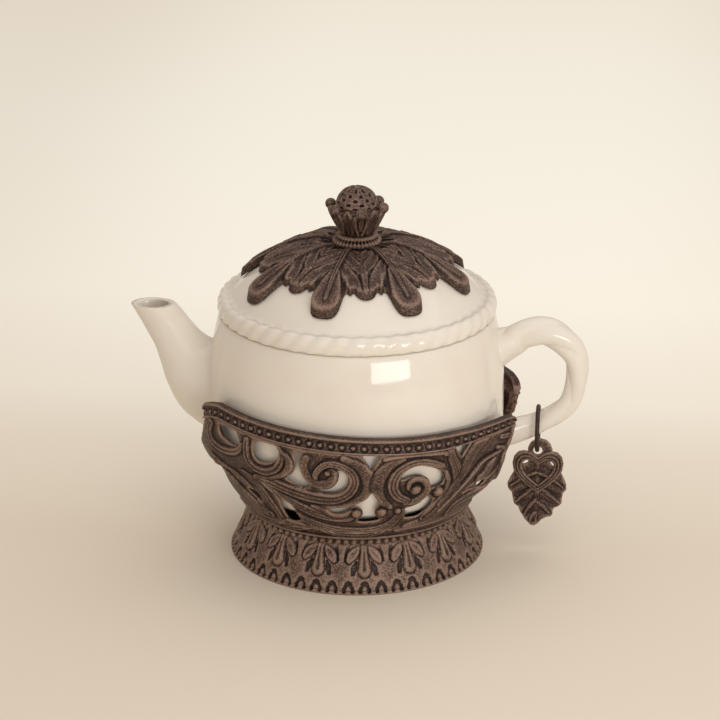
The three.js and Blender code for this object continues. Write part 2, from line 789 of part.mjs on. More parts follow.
function makeLidShell() {
  const ropeCentre = bowlMouthRadius - lidRopeInset;
  const ropeHeight = seatGap + lidRopeHalfHeight;
  const rope = [-90, -40, 0, 45, 90].map((degrees) => [
    ropeCentre + lidRopeHalfWidth * Math.cos(radians(degrees)),
    ropeHeight + lidRopeHalfHeight * Math.sin(radians(degrees)),
  ]);
  const flange = bowlMouthRadius - bowlWall - bowlMouthLip - lidFlangeGap;
  const flangeInside = flange - lidFlangeWall;
  const outside = domeRadii.map((r) => [r, domeHeight(r)]);
  const inside = radiiBetween(gasketSeat, flangeInside - 4, 4).map((r) => [
    r,
    domeHeight(r) - lidWall,
  ]);
  return turned([
    [flangeInside, -lidFlangeDepth],
    [flange, -lidFlangeDepth],
    [flange, seatGap],
    ...rope,
    ...outside,
    [studHole, domeInside],
    ...inside,
    [flangeInside, seatGap],
  ]);
}

// Leaf cap: eight blunt leaves with ribs, and small leaves between them
function makeLeafCap() {
  const half = capLeafSteps.slice(1, -1).map(([away, ...rest]) => [-away, ...rest]);
  const pitch = [...half.reverse(), ...capLeafSteps];
  const steps = Array.from({ length: capLeafCount }, (_, leaf) =>
    pitch.map(([away, reach, thick]) => [capTurn + (360 / capLeafCount) * leaf + away, reach, thick]),
  ).flat();
  const columns = steps.map(([bearing, , thick]) => {
    const bottom = domeRadii.map((r) => atBearing(bearing, r, domeHeight(r) + seatGap));
    const top = domeRadii.map((r) => {
      const share = THREE.MathUtils.clamp((r - capFlatRadius) / capRiseRun, 0, 1);
      const height = capThickness + (thick - capThickness) * share;
      return atBearing(bearing, r, domeHeight(r) + seatGap + height);
    });
    return [...bottom, ...top.reverse()];
  });
  const outline = steps.map(([bearing, reach]) => {
    const at = atBearing(bearing, reach, 0);
    return new THREE.Vector2(at.x, at.y);
  });
  const column = new THREE.ExtrudeGeometry(new THREE.Shape(outline), {
    depth: 2 * lidRise,
    bevelEnabled: false,
  });
  return wrapped(columns).intersect(solidOf(column));
}

const capTop = domeHeight(0) + seatGap + capThickness;
const finialBottom = capTop + seatGap;
const cupBottom = finialBottom + finialCollarHeight + seatGap;
const budBottom = cupBottom + finialCupHeight - finialCupWall;
const studTop = budBottom + finialBudHeight * 0.6;

function makeFinialCollar() {
  const r = finialCollarRadius;
  return turned(
    [
      [studHole, finialBottom],
      [r - 1.2, finialBottom],
      [r, finialBottom + 1.6],
      [r, finialBottom + finialCollarHeight - 1.8],
      [finialNeckRadius + 1, finialBottom + finialCollarHeight],
      [studHole, finialBottom + finialCollarHeight],
    ],
    24,
  );
}

function makeFinialCup() {
  const top = cupBottom + finialCupHeight;
  const floor = cupBottom + finialCupHeight * finialCupFloor;
  const [lowBend, highBend] = finialCupSteps.map((share) => cupBottom + finialCupHeight * share);
  const cup = turned(
    [
      [studHole, cupBottom],
      [finialNeckRadius, cupBottom],
      [finialNeckRadius + 1.4, lowBend],
      [finialCupRadius - 2.4, highBend],
      [finialCupRadius - 1, top],
      [finialBudRadius + 0.6, top],
      [finialNeckRadius, floor],
      [studHole, floor],
    ],
    20,
  );
  return Array.from({ length: finialCurlCount }).reduce((rest, _, i) => {
    const bearing = (360 / finialCurlCount) * i + finialCurlTurn;
    const at = atBearing(bearing, finialCupRadius - 1.2, top - 1.4);
    const curl = new THREE.SphereGeometry(finialCurlRadius, 6, 4).translate(at.x, at.y, at.z);
    return rest.add(solidOf(curl));
  }, cup);
}

function makeFinialBud() {
  const base = cupBottom + finialCupHeight * finialCupFloor + seatGap;
  const top = budBottom + finialBudHeight;
  const bends = finialBudSteps.map((share) => base + (top - base) * share);
  const widest = finialBudRadius - seatGap - 0.6;
  const bud = turned(
    [
      [0, base],
      [finialNeckRadius - 1.5, base],
      [widest, bends[0]],
      [widest - 0.8, bends[1]],
      [widest - 4.4, bends[2]],
      [0, top],
    ],
    20,
  );
  return bud.subtract(disc(studHole, base - 1, studTop + seatGap - base + 1, 12));
}

const gasketBottom = domeInside - seatGap - gasketThickness;
const washerBottom = gasketBottom - seatGap - washerThickness;
const nutBottom = washerBottom - seatGap - nutHeight;

const makeStud = () => disc(studRadius, nutBottom - studTail, studTop - nutBottom + studTail, 12);
const makeGasket = () => ring(gasketRadius, studHole, gasketBottom, gasketThickness, 16);
const makeWasher = () => ring(washerRadius, studHole, washerBottom, washerThickness, 16);
const makeNut = () =>
  disc(nutRadius, nutBottom, nutHeight, 6).subtract(
    disc(studHole, nutBottom - 1, nutHeight + 2, 12),
  );

const stand = new THREE.Group();
stand.add(
  meshOf("stand_foot", drilled(makeFoot()), antiqueCasting),
  meshOf("waist_collar", drilled(makeCollar()), antiqueCasting),
  meshOf("basket_base", drilled(makeBasketBase()), antiqueCasting),
  meshOf("front_scroll_panel", makePanel(-1), antiqueCasting),
  meshOf("back_scroll_panel", makePanel(1), antiqueCasting),
  meshOf("front_rail", makeRail(-1), antiqueCasting),
  meshOf("back_rail", makeRail(1), antiqueCasting),
  meshOf(
    "seat_pad",
    ring(bowlSeatRadius, bowlSeatRadius - padWidth, ledgeTop + seatGap, padThickness),
    softRubber,
  ),
);
screwSpots().forEach((spot, i) => {
  stand.add(meshOf(`stand_screw_${i + 1}`, makeScrew(spot), zincSteel));
});

const pot = new THREE.Group();
pot.position.z = potBase;
pot.add(
  meshOf("teapot_bowl", makeBowl(), glazedStoneware),
  meshOf("spout", makeSpout(), glazedStoneware),
  meshOf("handle", makeHandle(), glazedStoneware),
  meshOf("charm_ring", makeRing(), darkWire),
);

const charm = new THREE.Group();
charm.position.set(ringStation, 0, ringBottom);
charm.add(
  meshOf("charm_leaf", makeCharmLeaf(), antiqueCasting),
  meshOf("charm_heart", makeCharmHeart(), antiqueCasting),
);
pot.add(charm);

const lid = new THREE.Group();
lid.position.z = potBase + bowlHeight;
lid.add(
  meshOf("lid_shell", makeLidShell(), glazedStoneware),
  meshOf("leaf_cap", makeLeafCap(), antiqueCasting),
  meshOf("finial_collar", makeFinialCollar(), antiqueCasting),
  meshOf("finial_cup", makeFinialCup(), antiqueCasting),
  meshOf("finial_bud", makeFinialBud(), antiqueCasting),
  meshOf("finial_stud", makeStud(), zincSteel),
  meshOf("lid_gasket", makeGasket(), softRubber),
  meshOf("lid_washer", makeWasher(), zincSteel),
  meshOf("lid_nut", makeNut(), zincSteel),
);

const teapotInStand = new THREE.Group();
teapotInStand.add(stand, pot, lid);

export default teapotInStand;
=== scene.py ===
import bpy
import bmesh
import math
import numpy as np
from mathutils import Matrix, Vector


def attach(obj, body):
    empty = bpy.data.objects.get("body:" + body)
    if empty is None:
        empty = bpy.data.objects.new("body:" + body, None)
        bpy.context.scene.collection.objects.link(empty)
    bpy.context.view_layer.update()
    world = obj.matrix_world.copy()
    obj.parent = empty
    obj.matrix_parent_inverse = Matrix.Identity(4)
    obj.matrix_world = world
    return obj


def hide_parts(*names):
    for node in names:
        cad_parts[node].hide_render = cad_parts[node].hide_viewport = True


# A glazed teapot in a pierced cast metal stand. Sizes are millimetres until they are placed.
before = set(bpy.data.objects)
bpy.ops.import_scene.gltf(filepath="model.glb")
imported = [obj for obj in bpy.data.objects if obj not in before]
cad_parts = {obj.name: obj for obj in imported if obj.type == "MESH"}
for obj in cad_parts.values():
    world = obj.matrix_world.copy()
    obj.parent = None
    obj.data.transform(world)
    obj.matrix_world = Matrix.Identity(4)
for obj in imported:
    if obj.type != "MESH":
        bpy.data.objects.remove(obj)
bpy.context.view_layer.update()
mm = 0.001

# Sizes that the CAD part also uses
sizes = dict(
    footRadius=71.7, footHeight=25.5, footRim=3, footRoundness=1.1, waistRadius=60.8,
    basketRoundness=1.9, railTop=101.2, railHeight=10.2, railSlope=0.06, railRadius=90,
    basketWall=4, collarBottom=25.8, collarTop=30.3, baseBottom=30.6, ledgeTop=33.6,
    baseTop=36.6, panelBottom=36.9, potBase=35.4, bowlHeight=105.2, bowlRadius=82.1,
    bowlWidest=61.6, bowlMouth=76.3, bowlSeat=50, lidBase=140.6, domeRise=37.9,
    domeDrop=27.6, domeEdge=69.4, domePower=2.55,
)


def basketRadius(z):
    share = np.clip((z - sizes["footHeight"]) / (sizes["railTop"] - sizes["footHeight"]), 0, 1)
    spread = sizes["railRadius"] - sizes["waistRadius"]
    return sizes["waistRadius"] + spread * (1 - (1 - share) ** sizes["basketRoundness"])


def bowlRadiusAt(z):
    low = np.clip(1 - z / sizes["bowlWidest"], 0, 1)
    high = np.clip((z - sizes["bowlWidest"]) / (sizes["bowlHeight"] - sizes["bowlWidest"]), 0, 1)
    below = sizes["bowlSeat"] + (sizes["bowlRadius"] - sizes["bowlSeat"]) * (1 - low**4.6)
    below = np.minimum(below, basketRadius(z + sizes["potBase"]) - sizes["basketWall"] - 0.9)
    above = sizes["bowlRadius"] - (sizes["bowlRadius"] - sizes["bowlMouth"]) * high**2.2
    return np.where(z < sizes["bowlWidest"], below, above)


def domeHeight(r):
    share = np.clip(r / sizes["domeEdge"], 0, 1.2)
    return sizes["lidBase"] + sizes["domeRise"] - sizes["domeDrop"] * share ** sizes["domePower"]


# Drawing tools

# The curve through the middle two of four rows, a share t of the way between them
def between(four, t):
    a, b, c, d = four
    return 0.5 * (2 * b + (c - a) * t + (2 * a - 5 * b + 4 * c - d) * t**2 + (3 * b - a - 3 * c + d) * t**3)


# Rows of numbers with one more at each end, which steers the curve there
def withEnds(points):
    rows = np.array(points, float)
    return np.vstack([2 * rows[0] - rows[1], rows, 2 * rows[-1] - rows[-2]])


# A smooth line through rows of numbers, with a point about every step millimetres
def spline(points, step):
    rows = withEnds(points)
    out = []
    for i in range(1, len(rows) - 2):
        count = max(1, int(np.linalg.norm(rows[i + 1, :2] - rows[i, :2]) / step))
        out += [between(rows[i - 1 : i + 3], t) for t in np.arange(count) / count]
    return np.array(out + [rows[-2]])


# A smooth line through rows with equal shares between them, as the CAD part's curves have
def resample(points, count):
    rows = withEnds(points)
    out = []
    for share in np.linspace(0, len(points) - 1, count):
        i = min(int(share), len(points) - 2)
        out.append(between(rows[i : i + 4], share - i))
    return np.array(out)


# How far along a path each of its points lies
def runAlong(path):
    return np.concatenate([[0], np.cumsum(np.hypot(*np.diff(path[:, :2], axis=0).T))])


# Points at radii and heights on a bearing, in metres
def aroundAxis(bearing, r, z):
    return np.stack([r * np.sin(bearing), -r * np.cos(bearing), z], -1) * mm


# An angle or length in a pattern that repeats, measured from the nearest middle
def folded(u, period):
    return (u + period / 2) % period - period / 2


# A stroke and its mirror image
def pair(points, look):
    return [(points, look), ([(-x, y, half) for x, y, half in points], look)]


# Skins rings of points into one closed body. With loop, the last ring joins the first
def skin(bm, rings, loop=False):
    n, m = len(rings), len(rings[0])
    rows = n + 1 if loop else n
    made = bmesh.ops.create_grid(bm, x_segments=rows - 1, y_segments=m, size=1)["verts"]
    for vert in made:
        i = round((vert.co.x + 1) / 2 * (rows - 1))
        j = round((vert.co.y + 1) / 2 * m)
        vert.co = rings[i % n][j % m]
    bmesh.ops.remove_doubles(bm, verts=made, dist=1e-8)
    if not loop:
        bmesh.ops.holes_fill(bm, edges=[e for e in bm.edges if e.is_boundary], sides=0)


# Turns a closed profile of [radius, height] round Z. relief is a function of bearing, radius and
# height, or one row of heights per column. It moves the surface outwards, with level only sideways
def turned(bm, profile, columns, relief=lambda bearing, r, z: 0 * r, level=False):
    outline = np.array(profile, float)
    ahead = np.roll(outline, -1, 0) - np.roll(outline, 1, 0)
    normal = np.stack([ahead[:, 1], -ahead[:, 0]], 1) / np.maximum(np.hypot(*ahead.T), 1e-6)[:, None]
    r, z = outline.T
    if np.sum(r * np.roll(z, -1) - np.roll(r, -1) * z) < 0:
        normal = -normal
    if level:
        normal = np.array([[1.0, 0.0]])
    rings = []
    for i in range(columns):
        bearing = 2 * math.pi * i / columns
        out = relief(bearing, r, z) if callable(relief) else relief[i]
        rings.append(aroundAxis(bearing, *(outline + normal * out[:, None]).T))
    skin(bm, rings, loop=True)


# A profile with its long straight sides cut up
def dense(profile, step=0.8, closed=True):
    out = []
    ends = profile[1:] + profile[:1] if closed else profile[1:]
    for (ax, ay), (bx, by) in zip(profile, ends):
        count = max(1, int(math.dist((ax, ay), (bx, by)) / step))
        out += [(ax + (bx - ax) * k / count, ay + (by - ay) * k / count) for k in range(count)]
    return out if closed else out + [profile[-1]]


# A raised band with round ends along [across, up, half width] points, with ridges along it
def band(bm, place, points, height, ridges=0, groove=0.5, sink=-1, step=0.4):
    path = spline(points, step)
    ahead = np.gradient(path[:, :2], axis=0)
    ahead /= np.maximum(np.linalg.norm(ahead, axis=1), 1e-9)[:, None]
    side = np.stack([-ahead[:, 1], ahead[:, 0]], 1)
    run, half = runAlong(path), path[:, 2]
    for distance in (run, run[-1] - run):
        near = np.clip(distance / np.maximum(half, 0.3), 0, 1)
        half = half * np.sqrt(np.clip(1 - (1 - near) ** 2, 0.04, 1))
    xs = np.linspace(-1, 1, int(max(7, 2 * path[:, 2].max() / 0.7, 5 * ridges)))
    wave = 0.5 - 0.5 * np.cos(math.pi * (ridges * (xs + 1))) if ridges else 1
    top = np.sqrt(np.clip(1 - xs**4, 0, 1)) * (height - groove * (1 - wave))
    rings = []
    for (u, v, _), (across, up), wide in zip(path, side, half):
        us, vs = u + across * wide * xs, v + up * wide * xs
        rings.append(np.concatenate([place(us, vs, top), place(us[::-1], vs[::-1], 0 * xs + sink)]))
    skin(bm, rings)


# Distance to a path, place along it counted in points, and the side of it, for many points
def nearestOn(u, v, path):
    spots = path[:, :2]
    first = np.argmin((u[:, None] - spots[:, 0]) ** 2 + (v[:, None] - spots[:, 1]) ** 2, axis=1)
    best, place, side = np.full(u.shape, 1e9), np.zeros(u.shape), np.ones(u.shape)
    for shift in (-1, 0):
        i = np.clip(first + shift, 0, len(path) - 2)
        ahead = spots[i + 1] - spots[i]
        du, dv = u - spots[i, 0], v - spots[i, 1]
        share = (du * ahead[:, 0] + dv * ahead[:, 1]) / np.maximum((ahead**2).sum(1), 1e-9)
        share = np.clip(share, 0, 1)
        du, dv = du - share * ahead[:, 0], dv - share * ahead[:, 1]
        distance = np.hypot(du, dv)
        better = distance < best
        best[better] = distance[better]
        place[better] = (i + share)[better]
        side[better] = np.where(ahead[:, 0] * dv - ahead[:, 1] * du < 0, -1, 1)[better]
    return best, place, side


# Which points lie in the box round a path that is wider by reach on all sides
def inBox(u, v, path, reach):
    low, high = path[:, :2].min(0) - reach, path[:, :2].max(0) + reach
    return (u > low[0]) & (u < high[0]) & (v > low[1]) & (v < high[1])


# Heights of raised strokes at many points. Later strokes lie over earlier ones, and a trench
# runs beside each. A stroke's look says how high it is, and its crown, ridges, dish or beads
def carve(u, v, strokes, ground=0.0, trench=0.55, margin=0.9):
    t = np.zeros(u.shape) + ground
    for points, look in strokes:
        path = spline(points, 0.6)
        near = np.nonzero(inBox(u, v, path, path[:, 2].max() + margin))[0]
        if not len(near):
            continue
        distance, place, side = nearestOn(u[near], v[near], path)
        steps = np.arange(len(path))
        half = np.interp(place, steps, path[:, 2])
        across = side * distance / np.maximum(half, 0.2)
        high = np.full(len(near), look["height"], float)
        if "ridges" in look:
            wave = 0.5 + 0.5 * np.cos(math.pi * look["ridges"] * (across + 1))
            high -= look.get("groove", 0.6) * wave
        if "dish" in look:
            high -= look["dish"] * np.clip(1 - (across / 0.75) ** 2, 0, 1)
        if "beads" in look:
            run = np.interp(place, steps, runAlong(path))
            high += look["beads"] * np.cos(2 * math.pi * run / look["pitch"]) * (np.abs(across) < 0.9)
        crest = np.clip(1 - np.abs(across) ** (2 * look.get("crown", 2.4)), 0, 1) ** 0.6
        old, base = t[near], look.get("base", ground)
        inside = np.maximum(base + (high - base) * crest, base + (old - base) * look.get("keep", 0.25))
        gap = np.clip(1 - (distance - half) / margin, 0, 1)
        beside = np.where(distance < half + margin, old - look.get("trench", trench) * gap**1.5, old)
        t[near] = np.where(np.abs(across) < 1, inside, beside)
    return t


# Adds round knobs given as [across, up, radius, height], each in a shallow moat
def studs(u, v, t, spots, moat=0.35):
    for x, y, radius, high in spots:
        d = np.hypot(u - x, v - y) / radius
        near = d < 1 + moat
        d = d[near]
        dome = np.maximum(high * np.sqrt(np.clip(1 - d**2, 0, 1)), t[near] * 0.3)
        t[near] = np.where(d < 1, dome, t[near] - 0.5 * (1 + moat - d) / moat)
    return t


# Distance to a closed outline, positive inside it
def loopDistance(u, v, loop):
    ring = np.array([p[:2] for p in loop], float)
    best = np.full(u.shape, 1e9)
    inside = np.zeros(u.shape, bool)
    for (ax, ay), (bx, by) in zip(ring, np.roll(ring, -1, 0)):
        ex, ey = bx - ax, by - ay
        share = np.clip(((u - ax) * ex + (v - ay) * ey) / max(ex * ex + ey * ey, 1e-9), 0, 1)
        best = np.minimum(best, np.hypot(u - ax - share * ex, v - ay - share * ey))
        inside ^= ((ay > v) != (by > v)) & (u < ax + (v - ay) * ex / (ey or 1e-9))
    return np.where(inside, best, -best)


def meshFrom(bm):
    bmesh.ops.recalc_face_normals(bm, faces=bm.faces)
    mesh = bpy.data.meshes.new("shape")
    bm.to_mesh(mesh)
    bm.free()
    return mesh


def pointsOf(mesh):
    here = np.zeros(len(mesh.vertices) * 3)
    mesh.vertices.foreach_get("co", here)
    return here.reshape(-1, 3)


def movePoints(mesh, points):
    mesh.vertices.foreach_set("co", points.ravel())
    mesh.update()


# A pierced sheet with a modelled face. edge(u, v) is positive where there is metal, height
# gives the front and back the rear, and place puts the points on the object
def reliefSheet(extent, step, edge, height, place, back):
    (u0, u1), (v0, v1) = extent
    bm = bmesh.new()
    bmesh.ops.create_grid(bm, x_segments=int((u1 - u0) / step), y_segments=int((v1 - v0) / step), size=0.5)
    spots = np.array([v.co[:2] for v in bm.verts]) + 0.5
    u, v = u0 + spots[:, 0] * (u1 - u0), v0 + spots[:, 1] * (v1 - v0)
    small = 0.05
    for _ in range(2):  # points close to an edge move onto it
        inner = edge(u, v)
        close = np.nonzero(np.abs(inner) < 0.62 * step)[0]
        x, y = u[close], v[close]
        du = (edge(x + small, y) - edge(x - small, y)) / (2 * small)
        dv = (edge(x, y + small) - edge(x, y - small)) / (2 * small)
        size = np.maximum(du**2 + dv**2, 0.3)
        u[close] -= inner[close] * du / size
        v[close] -= inner[close] * dv / size
        inner[close] = 0
    for vert, x, y in zip(bm.verts, u, v):
        vert.co = (x, y, 0)
    bm.verts.index_update()
    middles = np.array([f.calc_center_median()[:2] for f in bm.faces])
    whole = edge(middles[:, 0], middles[:, 1]) > 0.1 * step
    gone = [f for f, keep in zip(bm.faces, whole)
            if not keep or min(inner[v.index] for v in f.verts) < -0.3 * step]
    bmesh.ops.delete(bm, geom=gone, context="FACES")
    for part in bmesh.ops.extrude_face_region(bm, geom=bm.faces[:])["geom"]:
        if isinstance(part, bmesh.types.BMVert):
            part.co.z = 1
    mesh = meshFrom(bm)
    u, v, front = pointsOf(mesh).T
    inner = np.maximum(edge(u, v), 0)
    movePoints(mesh, place(u, v, np.where(front > 0.5, height(u, v, inner), back(inner))))
    bm = bmesh.new()
    bm.from_mesh(mesh)
    bpy.data.meshes.remove(mesh)
    return meshFrom(bm)


def newObject(name, data):
    thing = bpy.data.objects.new(name, data)
    bpy.context.scene.collection.objects.link(thing)
    return thing


# Casts what bm holds into one skin of even faces
def fuse(bm, voxel):
    loose = meshFrom(bm)
    source = newObject("loose", loose)
    cast = source.modifiers.new("cast", "REMESH")
    cast.mode = "VOXEL"
    cast.voxel_size = voxel * mm
    graph = bpy.context.evaluated_depsgraph_get()
    mesh = bpy.data.meshes.new_from_object(source.evaluated_get(graph))
    bpy.data.objects.remove(source)
    bpy.data.meshes.remove(loose)
    bm = bmesh.new()
    bm.from_mesh(mesh)
    bmesh.ops.smooth_vert(bm, verts=bm.verts, factor=0.5, use_axis_x=True, use_axis_y=True, use_axis_z=True)
    bm.to_mesh(mesh)
    bm.free()
    return mesh


# Stores how far each point stands above or below its surroundings, from -1 to 1, less any painted shade that
# a function of how far each face looks up gives
def markReliefAndFacingShade(mesh, rounds, depth, facingShade):
    here = pointsOf(mesh)
    normals = np.zeros(here.size, np.float32)
    mesh.vertex_normals.foreach_get("vector", normals)
    normals = normals.reshape(-1, 3)
    pairs = np.zeros(len(mesh.edges) * 2, np.int32)
    mesh.edges.foreach_get("vertices", pairs)
    a, b = pairs.reshape(-1, 2).T
    count = len(here)
    weight = np.bincount(a, minlength=count) + np.bincount(b, minlength=count)
    level = here.copy()
    for _ in range(rounds):
        level = np.stack([
            (np.bincount(a, level[b, k], count) + np.bincount(b, level[a, k], count)) / weight
            for k in range(3)
        ], 1)
    relief = np.einsum("ij,ij->i", here - level, normals) / (depth * mm)
    if facingShade is not None:
        # Painted shade: the colour is darkened by which way a face looks, not by the finish
        relief = np.clip(relief, -1, 1) - facingShade(normals[:, 2])
    attribute = mesh.attributes.new("relief", "FLOAT", "POINT")
    attribute.data.foreach_set("value", np.clip(relief, -1, 1).astype(np.float32))


def addPiece(name, mesh, material, body, node):
    piece = newObject(name, mesh)
    mesh.name = name
    mesh.materials.clear()
    mesh.materials.append(material)
    mesh.polygons.foreach_set("use_smooth", [True] * len(mesh.polygons))
    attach(piece, body)
    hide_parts(node)


# A piece of cast metal. Its optional last function paints shade into the colour by how far each face looks up
def addCasting(name, mesh, body, node, rounds=20, depth=0.6, facingShade=None):
    markReliefAndFacingShade(mesh, rounds, depth, facingShade)
    addPiece(name, mesh, castMetal, body, node)


def addBackHalf(name, front, node):
    mesh = front.copy()
    mesh.transform(Matrix.Scale(-1, 4, (0, 1, 0)))
    mesh.flip_normals()
    addPiece(name, mesh, castMetal, "stand", node)


# Materials

# A colour written as sRGB hex, as the numbers that Blender wants
def linear(colour):
    parts = [int(colour[i : i + 2], 16) / 255 for i in (1, 3, 5)]
    return tuple(c / 12.92 if c <= 0.04045 else ((c + 0.055) / 1.055) ** 2.4 for c in parts) + (1.0,)


# Links sockets to a node's inputs and sets the others
def feed(tree, node, inputs):
    for key, value in inputs.items():
        if isinstance(value, bpy.types.NodeSocket):
            tree.links.new(value, node.inputs[key])
        else:
            node.inputs[key].default_value = value


def addNode(tree, kind, inputs, **settings):
    node = tree.nodes.new(kind)
    for key, value in settings.items():
        setattr(node, key, value)
    feed(tree, node, inputs)
    return node


# A material's tree and shader, and the place on the object that its patterns follow
def newMaterial(name):
    material = bpy.data.materials.new(name)
    material.use_nodes = True
    tree = material.node_tree
    where = addNode(tree, "ShaderNodeTexCoord", {}).outputs["Object"]
    return material, tree, tree.nodes["Principled BSDF"], where


def noise(tree, where, scale, detail, roughness):
    return addNode(tree, "ShaderNodeTexNoise", {
        "Vector": where, "Scale": scale, "Detail": detail, "Roughness": roughness,
    }).outputs["Fac"]


def mapRange(tree, value, start, end, first, last, **settings):
    return addNode(tree, "ShaderNodeMapRange", {
        "Value": value, "From Min": start, "From Max": end, "To Min": first, "To Max": last,
    }, **settings).outputs["Result"]


def combine(tree, operation, *values):
    return addNode(tree, "ShaderNodeMath", dict(enumerate(values)), operation=operation).outputs[0]


def bumpFrom(tree, height, strength, depth):
    return addNode(tree, "ShaderNodeBump", {
        "Height": height, "Strength": strength, "Distance": depth * mm,
    }).outputs["Normal"]


def ramp(tree, factor, stops):
    node = addNode(tree, "ShaderNodeValToRGB", {"Fac": factor})
    elements = node.color_ramp.elements
    while len(elements) < len(stops):
        elements.new(0.5)
    for element, (position, colour) in zip(elements, stops):
        element.position = position
        element.color = linear(colour)
    return node.outputs["Color"]


castLook = dict(
    recess="#140c0a", shade="#33231d", body="#523c33", worn="#967d6d", grain=0.9, grainSize=0.75,
    patches=90.0, patchy=0.1, rough=0.6, shiny=0.38, metallic=0.35, bump=0.6, bumpDepth=0.6,
)


# Cast aluminium with a dark brown antique finish: dark in its hollows, rubbed lighter on its
# high spots, with a sandy grain that breaks up both the colour and the shine
# Where a piece's relief attribute also carries painted shade by facing, the same ramp paints that shade dark
def makeCastMetal():
    look = castLook
    material, tree, shader, where = newMaterial("antiqueCastingWithFacingShade")
    relief = addNode(tree, "ShaderNodeAttribute", {}, attribute_name="relief").outputs["Fac"]
    grain = noise(tree, where, 1 / (look["grainSize"] * mm), 4.0, 0.7)
    patches = noise(tree, where, look["patches"], 3.0, 0.55)
    level = mapRange(tree, relief, -1.0, 1.0, 0.0, 1.0)
    speckle = mapRange(tree, grain, 0.3, 0.7, -0.5 * look["grain"], 0.5 * look["grain"])
    wide = mapRange(tree, patches, 0.3, 0.7, -look["patchy"], look["patchy"])
    total = combine(tree, "ADD", combine(tree, "ADD", level, speckle), wide)
    feed(tree, shader, {
        "Base Color": ramp(tree, total, [
            (0.1, look["recess"]), (0.38, look["shade"]), (0.6, look["body"]), (1.0, look["worn"]),
        ]),
        "Metallic": look["metallic"],
        "Roughness": mapRange(tree, grain, 0.3, 0.7, look["rough"], look["shiny"]),
        "Normal": bumpFrom(tree, grain, look["bump"], look["bumpDepth"]),
    })
    return material


glazeLook = dict(
    body="#e9e3d7", pooled="#e5ddd0", clouds=22.0, ripples=160.0, roughness=0.07, bump=0.03, bumpDepth=0.5,
)


# Stoneware under a clear cream glaze: a sharp gloss with faint ripples, a little darker where
# the glaze pools
def makeGlaze():
    look = glazeLook
    material, tree, shader, where = newMaterial("glazedStoneware")
    clouds = noise(tree, where, look["clouds"], 3.0, 0.5)
    ripples = noise(tree, where, look["ripples"], 1.0, 0.4)
    feed(tree, shader, {
        "Base Color": ramp(tree, clouds, [(0.3, look["pooled"]), (0.5, look["body"])]),
        "Roughness": look["roughness"],
        "Normal": bumpFrom(tree, ripples, look["bump"], look["bumpDepth"]),
    })
    return material


# A small part's finish: two close colours in a fine pattern, with a little bump
def makePlain(name, first, second, scale, roughness, metallic, bump):
    material, tree, shader, where = newMaterial(name)
    mottle = noise(tree, where, scale, 4.0, 0.6)
    feed(tree, shader, {
        "Base Color": ramp(tree, mottle, [(0.3, first), (0.7, second)]), "Metallic": metallic,
        "Roughness": roughness, "Normal": bumpFrom(tree, mottle, bump, 0.3),
    })
    return material


castMetal = makeCastMetal()
glaze = makeGlaze()
darkWire = makePlain("darkWire", "#241a16", "#4d3c33", 700, 0.42, 0.5, 0.3)
zincSteel = makePlain("zincSteel", "#8d8e90", "#a6a6a3", 500, 0.35, 0.9, 0.1)
softRubber = makePlain("softRubber", "#201e1d", "#2d2a28", 900, 0.8, 0.0, 0.3)
print("materials made")

# Camera, light and floor

view = dict(azimuth=5.5, pitch=20.57, away=1495, lens=143.25, film=36, target=(1.66, 0.16, 111.0))


def makeCamera():
    data = bpy.data.cameras.new("camera")
    data.lens = view["lens"]
    data.sensor_width = view["film"]
    data.clip_end = 50
    camera = newObject("camera", data)
    turn, pitch = math.radians(view["azimuth"]), math.radians(view["pitch"])
    away = Vector((math.sin(turn), -math.cos(turn), math.tan(pitch))) * view["away"]
    camera.location = (Vector(view["target"]) + away) * mm
    camera.rotation_euler = (math.pi / 2 - pitch, 0, turn)
    bpy.context.scene.camera = camera


lights = dict(
    tent=dict(at=(300, 100, 1350), size=(2000, 1500), power=6.5, colour="#ffffff"),
    window=dict(at=(545, -905, 250), size=(560, 250), power=3.0, colour="#ffffff"),
    front=dict(at=(300, -1500, 780), size=(1300, 900), power=2.2, colour="#ffffff"),
)
surroundings = dict(colour="#fff0e4", strength=0.54, lampsAimAt=90)


def makeLights():
    for name, spec in lights.items():
        data = bpy.data.lights.new(name, "AREA")
        data.shape = "RECTANGLE"
        data.size, data.size_y = spec["size"][0] * mm, spec["size"][1] * mm
        data.energy = spec["power"]
        data.color = linear(spec["colour"])[:3]
        lamp = newObject(name, data)
        lamp.location = Vector(spec["at"]) * mm
        aim = Vector((0, 0, surroundings["lampsAimAt"] * mm)) - lamp.location
        lamp.rotation_euler = aim.to_track_quat("-Z", "Y").to_euler()
    world = bpy.data.worlds.new("studio")
    bpy.context.scene.world = world
    world.use_nodes = True
    back = world.node_tree.nodes["Background"]
    back.inputs["Color"].default_value = linear(surroundings["colour"])
    back.inputs["Strength"].default_value = surroundings["strength"]


# The paper's emission ramp is painted light: dim near the object, bright towards the back
floorLook = dict(
    paper="#ebe1cf", roughness=0.9, shine=0.1, size=6, reach=1400.0, sides=(120.0, 400.0), edge=0.72,
    paintedLight=[(0.0, "#242726"), (0.1, "#575d5b"), (0.165, "#7c8281"), (0.3, "#949c9c"), (0.63, "#95a0a1"),
          (0.95, "#989e9b")],
)
